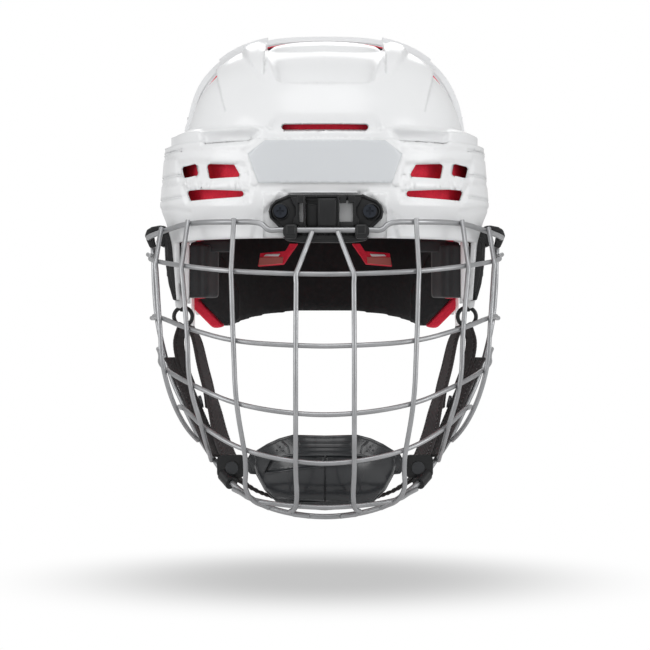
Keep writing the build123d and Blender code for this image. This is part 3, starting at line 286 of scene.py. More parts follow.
def rod(points, radius, closed=False, sides=8):
    """A round bar along points; radius in millimetres."""
    work = bmesh.new()
    rings = []
    count = len(points)
    for number, point in enumerate(points):
        before = points[number - 1] if number or closed else point
        after = points[(number + 1) % count] if closed or number < count - 1 else point
        along = (after - before).normalized()
        across = along.cross(Vector((0, 1, 0)))
        if across.length < 0.1:
            across = along.cross(Vector((1, 0, 0)))
        across.normalize()
        other = along.cross(across)
        turns = [2 * math.pi * corner / sides for corner in range(sides)]
        rings.append(
            [
                work.verts.new(point + (across * math.cos(turn) + other * math.sin(turn)) * radius * MM)
                for turn in turns
            ]
        )
    pairs = list(zip(rings, rings[1:]))
    if closed:
        pairs.append((rings[-1], rings[0]))
    for one, two in pairs:
        for corner in range(sides):
            after = (corner + 1) % sides
            work.faces.new((one[corner], one[after], two[after], two[corner]))
    if not closed:
        work.faces.new(rings[0][::-1])
        work.faces.new(rings[-1])
    bmesh.ops.recalc_face_normals(work, faces=work.faces)
    return work


def between(a, b, c, d, t):
    """A value at share t of the way from b to c, on a smooth curve through all four."""
    square, cube = 2 * a - 5 * b + 4 * c - d, 3 * b - a - 3 * c + d
    return (2 * b + (c - a) * t + square * t**2 + cube * t**3) / 2


def curve_through(points, step):
    """Points about a step apart on a smooth curve through the given vectors of any length."""
    filled = []
    count = len(points)
    for number in range(count - 1):
        spots = [points[max(0, min(count - 1, number + shift))] for shift in (-1, 0, 1, 2)]
        parts = max(1, round(math.dist(spots[1][:3], spots[2][:3]) / step))
        filled += [[between(*four, part / parts) for four in zip(*spots)] for part in range(parts)]
    filled.append(list(points[-1]))
    return filled


# Half widths and half thicknesses round a strap, with rounded edges
STRAP_SECTION = (
    (-1, -0.4), (-1, 0.4), (-0.92, 1), (-0.5, 1), (0, 1), (0.5, 1), (0.92, 1),
    (1, 0.4), (1, -0.4), (0.92, -1), (0.5, -1), (0, -1), (-0.5, -1), (-0.92, -1),
)
STRAP_STEP, STRAP_RIB = 1.1 * MM, 0.03
# Seams: every third step, this share of the half width out, and this far into the air
SEAM_STEP, SEAM_AT, SEAM_LIFT = 3, 0.74, 0.05 * MM
THREAD_LONG, THREAD_TAPER, THREAD_WIDE, THREAD_TALL = 1.1 * MM, 0.8 * MM, 0.35 * MM, 0.22 * MM


def strap(name, controls, width, thick):
    """Flat webbing through controls, each a point and the direction of the strap's width there.
    Its UV map is in metres, and rows of stitches stand a little out of it."""
    rows = curve_through([(*point, *turn) for point, turn in controls], STRAP_STEP)
    work = bmesh.new()
    layer = work.loops.layers.uv.new("strap")
    rings, lengths, frames, run = [], [], [], 0
    for number, row in enumerate(rows):
        point = Vector(row[:3])
        before = Vector(rows[max(0, number - 1)][:3])
        after = Vector(rows[min(len(rows) - 1, number + 1)][:3])
        along = (after - before).normalized()
        across = Vector(row[3:])
        across = (across - along * across.dot(along)).normalized()
        out = along.cross(across)
        run += (point - before).length
        half = width / 2 * (1 + STRAP_RIB * (number % 2))
        rings.append(
            [work.verts.new(point + across * a * half + out * b * thick / 2) for a, b in STRAP_SECTION]
        )
        lengths.append(run)
        frames.append((point, along, across, out))
    count = len(STRAP_SECTION)
    for number, (one, two) in enumerate(zip(rings, rings[1:])):
        for corner in range(count):
            after = (corner + 1) % count
            face = work.faces.new((one[corner], one[after], two[after], two[corner]))
            places = ((corner, number), (after, number), (after, number + 1), (corner, number + 1))
            for loop, (spot, line) in zip(face.loops, places):
                loop[layer].uv = (STRAP_SECTION[spot][0] * width / 2, lengths[line])
    work.faces.new(rings[0])
    work.faces.new(rings[-1][::-1])
    bmesh.ops.recalc_face_normals(work, faces=work.faces)
    for point, along, across, out in frames[2:-2:SEAM_STEP]:
        for edge in (-SEAM_AT, SEAM_AT):
            for face_side in (-1, 1):
                middle = point + across * edge * width / 2 + out * face_side * (thick / 2 + SEAM_LIFT)
                stitch(work, layer, middle, along, across, out)
    mesh = bpy.data.meshes.new(name)
    work.to_mesh(mesh)
    work.free()
    mesh.shade_smooth()
    return linked(mesh, name)


def stitch(work, layer, middle, along, across, out):
    """One thread of a seam, a small rounded block."""
    ends = (-1, 1)
    corners = [
        work.verts.new(
            middle
            + along * a * (THREAD_LONG if c < 0 else THREAD_TAPER)
            + across * b * THREAD_WIDE
            + out * c * THREAD_TALL
        )
        for a in ends
        for b in ends
        for c in ends
    ]
    for face in ((0, 1, 3, 2), (4, 6, 7, 5), (0, 4, 5, 1), (2, 3, 7, 6), (0, 2, 6, 4), (1, 5, 7, 3)):
        made = work.faces.new([corners[k] for k in face])
        for loop in made.loops:
            loop[layer].uv = (0, loop.vert.co.z)


def dress(piece, material):
    piece.data.materials.clear()
    piece.data.materials.append(material)


def dress_node(name, material):
    """Gives a CAD node a material, through its object's slot."""
    node = nodes[name]
    if not node.material_slots:
        node.data.materials.append(material)
    for slot in node.material_slots:
        slot.link = "OBJECT"
        slot.material = material


def place_piece(piece, body, finish, replaced=()):
    """Finishes a piece: its material, the body it rides on, and the nodes it stands for."""
    dress(piece, finish_named(finish))
    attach(piece, body)
    if replaced:
        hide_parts(*replaced)


# Shader groups, each built once


def shader_group(name, inputs, outputs):
    """A new shader group, the values that enter it and the ones that leave it."""
    group = bpy.data.node_groups.new(name, "ShaderNodeTree")
    for label, default in inputs.items():
        kind = "NodeSocketColor" if isinstance(default, tuple) else "NodeSocketFloat"
        socket = group.interface.new_socket(label, in_out="INPUT", socket_type=kind)
        socket.default_value = default
    for label, kind in outputs.items():
        group.interface.new_socket(label, in_out="OUTPUT", socket_type="NodeSocket" + kind)
    return group, group.nodes.new("NodeGroupInput").outputs, group.nodes.new("NodeGroupOutput").inputs


def feed(tree, socket, value):
    """Links an output to an input, or sets the input's value."""
    if isinstance(value, bpy.types.NodeSocket):
        tree.links.new(value, socket)
    else:
        socket.default_value = value


def add(tree, kind, values=None, **settings):
    """A new node with these settings and input values."""
    node = tree.nodes.new(kind)
    for key, value in settings.items():
        setattr(node, key, value)
    for key, value in (values or {}).items():
        feed(tree, node.inputs[key], value)
    return node


def mix_value(tree, factor, one, two):
    return add(tree, "ShaderNodeMix", {0: factor, 2: one, 3: two}).outputs[0]


def mix_colour(tree, factor, one, two):
    return add(tree, "ShaderNodeMix", {0: factor, 6: one, 7: two}, data_type="RGBA").outputs[2]


def sum_up(tree, operation, *values):
    """A Math node over these values."""
    return add(tree, "ShaderNodeMath", dict(enumerate(values)), operation=operation).outputs[0]


def remap(tree, value, low, high, to_low=0.0, to_high=1.0):
    values = dict(enumerate((value, low, high, to_low, to_high)))
    return add(tree, "ShaderNodeMapRange", values).outputs[0]


def where(tree, kind="Object"):
    """Texture coordinates of a kind."""
    return tree.nodes.new("ShaderNodeTexCoord").outputs[kind]


def make_grain():
    """Relief of moulded plastic or of a foam's skin: fine and coarse noise."""
    group, start, end = shader_group(
        "fine grain", {"Scale": 900.0, "Coarse": 60.0, "Share": 0.3}, {"Height": "Float", "Mask": "Float"}
    )
    spot = where(group)
    fine = add(group, "ShaderNodeTexNoise", {"Vector": spot, "Scale": start["Scale"], "Detail": 4.0})
    coarse = add(group, "ShaderNodeTexNoise", {"Vector": spot, "Scale": start["Coarse"], "Detail": 3.0})
    height = mix_value(group, start["Share"], fine.outputs["Fac"], coarse.outputs["Fac"])
    feed(group, end["Height"], height)
    feed(group, end["Mask"], coarse.outputs["Fac"])
    return group


def make_tone():
    """A colour that drifts a little over the surface."""
    group, start, end = shader_group(
        "tone drift",
        {"Colour": (0.5, 0.5, 0.5, 1), "Second": (0.4, 0.4, 0.4, 1), "Scale": 14.0, "Amount": 0.5},
        {"Colour": "Color", "Mask": "Float"},
    )
    values = {"Vector": where(group), "Scale": start["Scale"], "Detail": 6.0}
    noise = add(group, "ShaderNodeTexNoise", values)
    spread = remap(group, noise.outputs["Fac"], 0.35, 0.65)
    amount = sum_up(group, "MULTIPLY", spread, start["Amount"])
    feed(group, end["Colour"], mix_colour(group, amount, start["Colour"], start["Second"]))
    feed(group, end["Mask"], spread)
    return group


def make_edges():
    """Where a surface turns sharply, and a normal that rounds such edges."""
    group, start, end = shader_group(
        "rounded edges", {"Radius": 0.6 * MM, "Sharpness": 4.0}, {"Normal": "Vector", "Mask": "Float"}
    )
    rounded = add(group, "ShaderNodeBevel", {"Radius": start["Radius"]}, samples=4).outputs["Normal"]
    plain = group.nodes.new("ShaderNodeNewGeometry").outputs["Normal"]
    compare = add(group, "ShaderNodeVectorMath", {0: rounded, 1: plain}, operation="DOT_PRODUCT")
    apart = sum_up(group, "SUBTRACT", 1.0, compare.outputs["Value"])
    mask = sum_up(group, "MULTIPLY", apart, start["Sharpness"])
    feed(group, end["Normal"], rounded)
    feed(group, end["Mask"], remap(group, mask, 0.02, 1.0))
    return group


def make_beads():
    """The pressed beads of an expanded foam."""
    group, start, end = shader_group(
        "foam beads",
        {"Scale": 330.0, "Round": 0.4},
        {"Height": "Float", "Seams": "Float", "Tone": "Float"},
    )
    values = {"Vector": where(group), "Scale": start["Scale"]}
    edge = add(group, "ShaderNodeTexVoronoi", values, feature="DISTANCE_TO_EDGE").outputs["Distance"]
    tones = add(group, "ShaderNodeTexVoronoi", values)
    tone = add(group, "ShaderNodeSeparateColor", {"Color": tones.outputs["Color"]})
    feed(group, end["Height"], remap(group, edge, 0.0, start["Round"]))
    feed(group, end["Seams"], remap(group, edge, 0.0, 0.12, 1.0, 0.0))
    feed(group, end["Tone"], tone.outputs["Red"])
    return group


def make_weave():
    """Ribbed webbing: u runs across the strap and v along it, in metres."""
    group, start, end = shader_group(
        "webbing weave", {"Across": 1.3 * MM, "Along": 0.9 * MM}, {"Height": "Float", "Mask": "Float"}
    )
    split = add(group, "ShaderNodeSeparateXYZ", {0: where(group, "UV")})
    across = sum_up(group, "DIVIDE", split.outputs["X"], start["Across"])
    along = sum_up(group, "DIVIDE", split.outputs["Y"], start["Along"])
    shift = sum_up(group, "MULTIPLY", sum_up(group, "FLOOR", across), 0.5)
    rib = sum_up(group, "SINE", sum_up(group, "MULTIPLY", across, math.pi))
    rib = sum_up(group, "ABSOLUTE", rib)
    thread = sum_up(group, "MULTIPLY", sum_up(group, "ADD", along, shift), 2 * math.pi)
    thread = remap(group, sum_up(group, "SINE", thread), -1.0, 1.0)
    feed(group, end["Height"], mix_value(group, 0.45, rib, thread))
    feed(group, end["Mask"], thread)
    return group


# The panel's slants: how far in they start, and how steep they are, at its foot and its top
PANEL_FOOT, PANEL_FOOT_SLOPE = 6.5 * MM, 0.36
PANEL_TOP, PANEL_TOP_SLOPE = 8.0 * MM, 1.35
# The panel lies in front of these depths, and fades out between them
PANEL_DEPTHS = (-0.088, -0.09)


def make_panel_mask():
    """Where the panel in the middle of the brow is painted a light grey, darker than the shell, by its
    place on the shell.
    """
    group, start, end = shader_group(
        "front panel", {"Low": 0.0277, "High": 0.0537, "Half": 0.0466, "Edge": 0.0004}, {"Mask": "Float"}
    )
    split = add(group, "ShaderNodeSeparateXYZ", {0: where(group)}).outputs
    # Four straight edges of half the panel: low, high and the two slants of its side
    low = sum_up(group, "SUBTRACT", split["Z"], start["Low"])
    high = sum_up(group, "SUBTRACT", start["High"], split["Z"])
    wide = sum_up(group, "SUBTRACT", start["Half"], sum_up(group, "ABSOLUTE", split["X"]))
    foot = sum_up(group, "MULTIPLY", low, PANEL_FOOT_SLOPE)
    lower = sum_up(group, "ADD", sum_up(group, "SUBTRACT", wide, PANEL_FOOT), foot)
    top = sum_up(group, "MULTIPLY", sum_up(group, "SUBTRACT", high, PANEL_TOP), PANEL_TOP_SLOPE)
    upper = sum_up(group, "ADD", wide, top)
    nearest = sum_up(
        group, "MINIMUM", sum_up(group, "MINIMUM", low, high), sum_up(group, "MINIMUM", lower, upper)
    )
    inside = remap(group, sum_up(group, "DIVIDE", nearest, start["Edge"]), 0.0, 1.0)
    front = remap(group, split["Y"], *PANEL_DEPTHS)
    feed(group, end["Mask"], sum_up(group, "MULTIPLY", inside, front))
    return group


group_makers = {
    "grain": make_grain,
    "tone": make_tone,
    "edges": make_edges,
    "beads": make_beads,
    "weave": make_weave,
    "panel": make_panel_mask,
}
groups = {}


def group_node(tree, name, **values):
    """The outputs of a shader group in a material, with its own values."""
    if name not in groups:
        groups[name] = group_makers[name]()
    node = tree.nodes.new("ShaderNodeGroup")
    node.node_tree = groups[name]
    for key, value in values.items():
        feed(tree, node.inputs[key], value)
    return node.outputs


def full(colour, share=1.0):
    """A colour with its alpha, darker or lighter by a share."""
    return (colour[0] * share, colour[1] * share, colour[2] * share, 1)


def lighter(colour, share, more):
    return full([min(1, channel * share + more) for channel in colour])


def new_material(name):
    material = bpy.data.materials.new(name)
    material.use_nodes = True
    tree = material.node_tree
    return material, tree, tree.nodes["Principled BSDF"]


def toned(tree, colour, second, **values):
    """The drifting tone between a colour and a share of it."""
    return group_node(tree, "tone", Colour=full(colour), Second=full(colour, second), **values)["Colour"]


MIDDLE_NOISE, WHOLE = (0.3, 0.7), (0.0, 1.0)


def surface(tree, shader, colour, mask, spread, smooth, dull):
    """Feeds the shader's colour, and its roughness from smooth to dull over the mask's spread."""
    feed(tree, shader.inputs["Base Color"], colour)
    feed(tree, shader.inputs["Roughness"], remap(tree, mask, *spread, smooth, dull))


def relief(tree, shader, height, distance, strength, normal=None):
    """Feeds a bump made from this height to the shader; distance in millimetres."""
    bump = add(tree, "ShaderNodeBump", {"Height": height, "Distance": distance * MM, "Strength": strength})
    if normal is not None:
        tree.links.new(normal, bump.inputs["Normal"])
    tree.links.new(bump.outputs["Normal"], shader.inputs["Normal"])


def moulded(name, colour, roughness, grain, depth, radius, coat=0.0, wear=0.25, drift=0.86, panel=None):
    """Moulded plastic: rounded edges, fine grain, drifting tone and lighter worn edges."""
    material, tree, shader = new_material(name)
    edges = group_node(tree, "edges", Radius=radius * MM)
    grained = group_node(tree, "grain", Scale=grain)
    base = toned(tree, colour, drift, Amount=0.7)
    # The panel in the middle of the brow is painted light grey, darker than the shell
    if panel is not None:
        base = mix_colour(tree, group_node(tree, "panel")["Mask"], base, full(panel))
    worn = sum_up(tree, "MULTIPLY", edges["Mask"], wear)
    base = mix_colour(tree, worn, base, lighter(colour, 1.6, 0.03))
    surface(tree, shader, base, grained["Mask"], MIDDLE_NOISE, roughness * 0.85, roughness * 1.15)
    shader.inputs["Coat Weight"].default_value = coat
    shader.inputs["Coat Roughness"].default_value = 0.12
    relief(tree, shader, grained["Height"], depth, 0.6, edges["Normal"])
    return material


def foam(name, colour, beads, depth, roughness, seam_dark):
    """Expanded foam: pressed beads with darker seams."""
    material, tree, shader = new_material(name)
    cells = group_node(tree, "beads", Scale=beads)
    spread = remap(tree, cells["Tone"], 0.0, 1.0, 0.0, 0.25)
    base = mix_colour(tree, spread, toned(tree, colour, 0.8, Scale=30.0), full(colour, 0.72))
    dark = sum_up(tree, "MULTIPLY", cells["Seams"], seam_dark)
    base = mix_colour(tree, dark, base, full(colour, 0.5))
    surface(tree, shader, base, cells["Tone"], WHOLE, roughness - 0.08, roughness)
    relief(tree, shader, cells["Height"], depth, 0.7)
    return material


def pad_skin(name, colour, roughness):
    """Soft pads: a fine pebbled skin."""
    material, tree, shader = new_material(name)
    pebbles = group_node(tree, "beads", Scale=900.0)
    grained = group_node(tree, "grain", Scale=1500.0, Coarse=120.0)
    base = toned(tree, colour, 0.75, Scale=25.0)
    surface(tree, shader, base, grained["Mask"], MIDDLE_NOISE, roughness - 0.08, roughness + 0.05)
    relief(tree, shader, mix_value(tree, 0.4, pebbles["Height"], grained["Height"]), 0.08, 0.7)
    shader.inputs["Sheen Weight"].default_value = 0.12
    return material


def painted_metal(name, colour):
    """Steel under paint."""
    material, tree, shader = new_material(name)
    grained = group_node(tree, "grain", Scale=700.0, Coarse=220.0, Share=0.5)
    base = toned(tree, colour, 0.7, Scale=60.0, Amount=0.6)
    surface(tree, shader, base, grained["Mask"], MIDDLE_NOISE, 0.3, 0.46)
    shader.inputs["Metallic"].default_value = 0.75
    relief(tree, shader, grained["Height"], 0.03, 0.6)
    return material


def woven(name, colour):
    """Woven webbing, on the strap's own UV map."""
    material, tree, shader = new_material(name)
    weave = group_node(tree, "weave")
    base = toned(tree, colour, 0.7, Scale=120.0)
    base = mix_colour(tree, weave["Mask"], base, lighter(colour, 1.7, 0.006))
    surface(tree, shader, base, weave["Mask"], WHOLE, 0.7, 0.9)
    relief(tree, shader, weave["Height"], 0.25, 0.9)
    shader.inputs["Sheen Weight"].default_value = 0.25
    return material


def clear_plastic(name):
    """The see-through ear guards."""
    material, tree, shader = new_material(name)
    grained = group_node(tree, "grain", Scale=500.0)
    tone = group_node(tree, "tone", Colour=(0.9, 0.92, 0.93, 1), Second=(0.8, 0.83, 0.85, 1))
    surface(tree, shader, tone["Colour"], grained["Mask"], MIDDLE_NOISE, 0.12, 0.25)
    shader.inputs["Alpha"].default_value = 0.55
    relief(tree, shader, grained["Height"], 0.03, 0.5)
    return material


finishes = {}


def finish_named(name):
    """A material by name, made the first time it is asked for."""
    sizes = bpy.context.scene.helmet_finishes
    if name not in finishes:
        # Moulded: roughness, grain, its depth, edge radius, coat, wear, drift of tone, panel's colour
        # Foam: beads, their depth, roughness, darkness of the seams
        plain = (sizes.shell, sizes.shell_roughness, 700.0, 0.012, 0.7, 0.35, 0.0, 0.965)
        maker, *values = {
            "shell": (moulded, "white shell", *plain, sizes.panel),
            "rear_shell": (moulded, "white rear shell", *plain),
            "red_foam": (foam, "red base foam", sizes.foam_red, 330.0, 0.12, 0.85, 0.2),
            "black_foam": (foam, "black liner foam", sizes.foam_black, 420.0, 0.08, 0.8, 0.3),
            "pad": (pad_skin, "pad skin", sizes.pad, 0.75),
            "wire": (painted_metal, "silver wire", sizes.wire),
            "fitting": (moulded, "black fittings", sizes.fitting, 0.42, 1200.0, 0.02, 0.35),
            "channel": (pad_skin, "lit lining", screen(205, 120, 112), 0.8),
            "steel": (painted_metal, "dark screws", screen(56, 60, 68)),
            "screw": (moulded, "black screws", screen(30, 30, 32), 0.3, 900.0, 0.01, 0.2, 0.0, 0.5),
            "cup": (moulded, "dark chin cup", sizes.cup, 0.24, 500.0, 0.02, 0.6, 0.3),
            "cup_foam": (foam, "chin cup foam", screen(34, 34, 36), 700.0, 0.06, 0.85, 0.3),
            "webbing": (woven, "webbing", sizes.webbing),
            "clear": (clear_plastic, "clear ear guard"),
            "rivet": (moulded, "white rivets", screen(225, 226, 226), 0.3, 900.0, 0.01, 0.3),
            "snap": (moulded, "snap buttons", screen(48, 50, 53), 0.3, 900.0, 0.01, 0.25),
        }[name]
        finishes[name] = maker(*values)
    return finishes[name]


# Operators, one for each piece or group of like pieces

# Forms of the front shell in the picture: outline of the left half, how far in (millimetres),
# softness of the edge, and the rows over which the form comes in
SHELL_FORMS = (
    (((264, 48), (326, 46), (326, 81.5), (281, 81.3), (277.4, 79), (271, 62)), 2.6, 3.0, None),
    (
        ((244.5, 52), (250, 46), (262, 44), (270, 52), (277, 79), (268, 86), (258, 74)),
        -2.6, 3.5, (88, 56),
    ),
    (((276, 112), (326, 111), (326, 131), (267, 131)), 1.7, 2.5, (112, 126)),
    (((255, 221), (271.6, 204.5), (283, 190), (326, 189), (326, 243), (250, 243)), 1.6, 2.5, None),
    (((176, 161.5), (204, 160.5), (246, 163.5), (249.5, 183), (178, 181.5)), 1.3, 2.2, None),
    (((181, 187.5), (222, 187.5), (250, 190.5), (250, 202.5), (186, 204.5)), 1.2, 2.0, None),
    (
        ((200, 129), (228, 128), (250, 130), (262, 125), (261, 131), (248, 141), (202.5, 144.5)),
        3.0, 3.5, (124, 138),
    ),
)
# Grooves: line, width in pixels, depth in millimetres
SHELL_GROOVES = (
    (((160, 151.5), (176, 150.5), (200, 150), (250, 150.5)), 1.6, 0.7),
    (((160, 159.6), (170, 158.6), (176, 158)), 1.4, 1.0),
    (((160, 184.6), (200, 184.6), (256, 186.4)), 1.4, 1.1),
    (((256, 186.4), (326, 186.4)), 1.2, 0.8),
    (((160, 209), (176, 209.6), (190, 212)), 1.6, 0.9),
    (((271.6, 205), (251.6, 218.7), (248, 226)), 1.5, 0.8),
)
GROOVE_REACH = 4
# The front shell's fine mesh: longest edge, rounds of smoothing, the depth where it ends, the
# corners it keeps, and what counts as its outside, seen from a point inside the head
SHELL_EDGE, SHELL_ROUNDS, SHELL_END, SHELL_CORNER = 2.6 * MM, 6, 10 * MM, math.radians(18)
HEAD_DEPTH, HEAD_FLATTEN, SHELL_FACING = 0.02, 0.9, 0.3
# The lip of the rear shell over the front shell: the height its arch stands on, its shape, its steps
LIP_LEVEL, LIP_POWER, LIP_STEPS = 46.5 * MM, 2 / 2.7, 96


def form_depth(column, row):
    """How far in the front shell's forms press its surface at a pixel, in millimetres."""
    total = 0
    for outline, depth, soft, fade in SHELL_FORMS:
        columns, lines = zip(*outline)
        if column < min(columns) - soft or not min(lines) - soft < row < max(lines) + soft:
            continue
        share = step_up(inside_distance(outline, column, row), -soft / 2, soft / 2)
        if fade:
            share *= step_up((row - fade[0]) / (fade[1] - fade[0]), 0, 1)
        total += depth * share
    for line, width, depth in SHELL_GROOVES:
        ends = sorted((line[0][0], line[-1][0]))
        if ends[0] - GROOVE_REACH < column < ends[1] + GROOVE_REACH:
            near = min(segment_distance(one, two, column, row) for one, two in zip(line, line[1:]))
            total += depth * math.exp(-((near / width) ** 2))
    return total


def refine_front(piece):
    """Splits long edges of the front shell, evens out the new points and presses its forms in.
    Points on its sharp edges stay in line with them."""
    work = bmesh.new()
    work.from_mesh(piece.data)
    bmesh.ops.remove_doubles(work, verts=work.verts, dist=0.01 * MM)
    for _ in range(6):
        bmesh.ops.triangulate(work, faces=work.faces)
        long_edges = [
            edge
            for edge in work.edges
            if edge.calc_length() > SHELL_EDGE and sum(end.co.y for end in edge.verts) < 2 * SHELL_END
        ]
        if not long_edges:
            break
        bmesh.ops.subdivide_edges(work, edges=long_edges, cuts=1)
    bmesh.ops.triangulate(work, faces=work.faces)
    kept = set()
    for edge in work.edges:
        if len(edge.link_faces) != 2 or edge.calc_face_angle(0) > SHELL_CORNER:
            kept.update(edge.verts)
    shown = [point for point in work.verts if point.co.y < SHELL_END]
    even_out(work, [point for point in shown if point not in kept], SHELL_ROUNDS)
    work.normal_update()
    for point in shown:
        away = point.co - Vector((0, HEAD_DEPTH, 0))
        away.z = max(0, away.z) * HEAD_FLATTEN
        away.normalize()
        if point.normal.dot(away) > SHELL_FACING:
            way = away if point in kept else point.normal
            point.co -= way * form_depth(*pixel_of(point.co)) * MM
    work.to_mesh(piece.data)
    work.free()
    shade_crisp(piece, 32)


def lip_route(half, height, depth):
    """Points along the arch of the lip; its sizes in millimetres."""
    route = []
    for number in range(LIP_STEPS + 1):
        # The share comes first: then the last angle is pi at most, and its sine stays above zero
        angle = math.pi * (number / LIP_STEPS)
        across, rise = math.cos(angle), math.sin(angle)
        side = half * MM * math.copysign(abs(across) ** LIP_POWER, across)
        route.append(Vector((side, depth * MM, LIP_LEVEL + height * MM * rise**LIP_POWER)))
    return route


class HELMET_OT_shells(bpy.types.Operator):
    """Mould the two white shells, with the forms of the front"""

    bl_idname = "helmet.shells"
    bl_label = "Shells"

    def execute(self, context):
        front = merged_copy("front_shell", "front_shell_moulded")
        refine_front(front)
        place_piece(front, "front_half", "shell", ("front_shell",))
        dress_node("rear_shell", finish_named("rear_shell"))
        # The rolled inside of the lip, which rests on the front shell, and the red seam under it
        for name, finish, slot, radius, half, height, depth in (
            ("lip_roll", "rear_shell", "white_shell", 1.6, 87.0, 80.2, -10.0),
            ("lip_seam", "red_foam", "red_foam", 0.5, 85.9, 79.1, -10.8),
        ):
            roll = joined(name, [rod(lip_route(half, height, depth), radius, sides=12)])
            roll.data.shade_smooth()
            place_piece(roll, "rear_half", finish, ())
        return {"FINISHED"}


def cut_corners(piece):
    """Cuts the lower outer corners of the rear foam along the slant that the picture shows."""
    work = bmesh.new()
    work.from_mesh(piece.data)
    for side, _ in SIDES:
        bmesh.ops.bisect_plane(
            work,
            geom=work.verts[:] + work.edges[:] + work.faces[:],
            plane_co=(side * 88 * MM, 0, -44 * MM),
            plane_no=(side * 0.68, 0, -0.73),
            clear_outer=True,
        )
        bmesh.ops.holes_fill(work, edges=[edge for edge in work.edges if edge.is_boundary])
    bmesh.ops.recalc_face_normals(work, faces=work.faces)
    work.to_mesh(piece.data)
    work.free()


class HELMET_OT_foams(bpy.types.Operator):
    """Mould the base foams and the liner"""

    bl_idname = "helmet.foams"
    bl_label = "Foams"

    def execute(self, context):
        for node, body, finish in (
            ("front_base_foam", "front_half", "red_foam"),
            ("rear_base_foam", "rear_half", "red_foam"),
            ("rear_liner", "rear_half", "black_foam"),
        ):
            piece = merged_copy(node, node + "_moulded")
            if node == "rear_base_foam":
                cut_corners(piece)
            soften(piece, context.scene.helmet_soft.foam_voxel, 3)
            place_piece(piece, body, finish, (node,))
        return {"FINISHED"}


# Temple pads: how far out their seam is, its width and depth, and where their inner edge slants back
SEAM_OUT, SEAM_WIDE, SEAM_DEEP = 78.5 * MM, 1.0 * MM, 1.1 * MM
SLANT_OUT, SLANT = 73.5 * MM, 0.9
# Pieces between the pads and the foams: name, outline, front, back, bevel, mesh size (a setting or
# millimetres, none for a crisp piece), body, finish, slot and fill. The last three are the air
# channel in the liner's back, its lit face and the slit at its end.
SIDE_PIECES = (
    (
        "brow_flap",
        [(189.8, 244), (192, 241.6), (232, 238.8), (232, 252), (189.6, 252)],
        -47, -40, 0.8, "pad_voxel", "front_half", "pad", "grey_pad", 0.8,
    ),
    (
        "red_tab",
        [(194.7, 290.5), (208.2, 290.5), (206.6, 298), (195.5, 298.9)],
        -30, -20, 0.6, 1.0, "front_half", "red_foam", "red_foam", 0.9,
    ),
    (
        "liner_side",
        [(197, 243), (216, 243), (240, 290), (240, 319.8), (224.9, 326.4), (198.9, 299.2)],
        39, 46, 1.0, "foam_voxel", "rear_half", "black_foam", "black_foam", 0.9,
    ),
    (
        "red_side",
        [(191.6, 293), (198.9, 299.2), (225, 326.6), (213.3, 328.6), (191.8, 306.8)],
        40, 60, 0.8, 1.6, "rear_half", "red_foam", "red_foam", 0.9,
    ),
    (
        "channel",
        [(298, 243.6), (290, 243.6), (285.4, 251), (260.4, 253.2), (258, 266.2), (284, 264), (288.6, 257)],
        60.0, 76, 0.3, None, "rear_half", "red_foam", "red_foam", 0.9,
    ),
    (
        "channel_face",
        [(259.6, 257.4), (283.4, 256.8), (282.6, 263.4), (258.6, 265.6)],
        59.2, 76, 0.3, None, "rear_half", "channel", "red_foam", None,
    ),
    (
        "channel_slit",
        [(263.6, 256.2), (266, 254.2), (280.4, 253.6), (278.6, 256.4)],
        59.0, 76, 0.3, None, "rear_half", "shell", "white_shell", None,
    ),
)


def shape_temple_pad(piece, low, high):
    """Presses the seam into a temple pad's front, and slants its inner edge back."""
    for point in piece.data.vertices:
        front = step_up((point.co.y - low) / (high - low), 0.75, 0.2)
        across = abs(point.co.x)
        point.co.y += front * SEAM_DEEP * math.exp(-(((across - SEAM_OUT) / SEAM_WIDE) ** 2))
        point.co.y += front * max(0, SLANT_OUT - across) * SLANT


class HELMET_OT_pads(bpy.types.Operator):
    """Round the pads, and fill the sides between them and the foams"""

    bl_idname = "helmet.pads"
    bl_label = "Pads"

    def execute(self, context):
        sizes = context.scene.helmet_soft
        for node, finish in (
            ("brow_pad", "black_foam"),
            ("crown_pad", "black_foam"),
            ("temple_pad_left", "pad"),
            ("temple_pad_right", "pad"),
        ):
            piece = merged_copy(node, node + "_moulded")
            soften(piece, sizes.pad_voxel, 4)
            if node.startswith("temple"):
                low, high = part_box(node)
                shape_temple_pad(piece, low[1], high[1])
            place_piece(piece, "front_half", finish, (node,))
        for side, word in SIDES:
            for name, outline, front, back, bevel, voxel, body, finish, slot, fill in SIDE_PIECES:
                piece = joined(f"{name}_{word}", [slab(outline, front, back, bevel, side)])
                if voxel:
                    soften(piece, getattr(sizes, voxel) if isinstance(voxel, str) else voxel * MM, 2)
                place_piece(piece, body, finish, ())
        return {"FINISHED"}


# A strap anchor: its body, its sunk face and window, two prongs at its foot and the ring's lug.
# Rows of outline, front, back and bevel.
ANCHOR_WINDOW = [(168.3, 243.4), (170.8, 240.4), (179.6, 240), (180.4, 250.2), (171.6, 251.4), (168.6, 249)]
ANCHOR = (
    (
        [
            (164.2, 236), (166.5, 231.5), (180.4, 229.5), (180.8, 262), (180.8, 296.5),
            (179, 300.3), (173.2, 300.3), (168.6, 284), (165.4, 262),
        ],
        -31.5, -3.0, 0.9,
    ),
    (
        [(166.4, 238), (179, 236), (179.6, 262), (179.4, 292), (174.6, 292), (170.4, 276), (167.6, 258)],
        -32.6, -30, 0.6,
    ),
    (ANCHOR_WINDOW, -33.4, -31, 0.6),
    (rectangle(173.8, 293.4, 175.2, 299.2), -33.2, -31, 0.2),
    (rectangle(176.6, 293.4, 178, 299.2), -33.2, -31, 0.2),
    ([(177.6, 299), (182.5, 299), (184.6, 306), (184.6, 311.6), (180, 311.6)], -15.6, -10.4, 0.6),
)
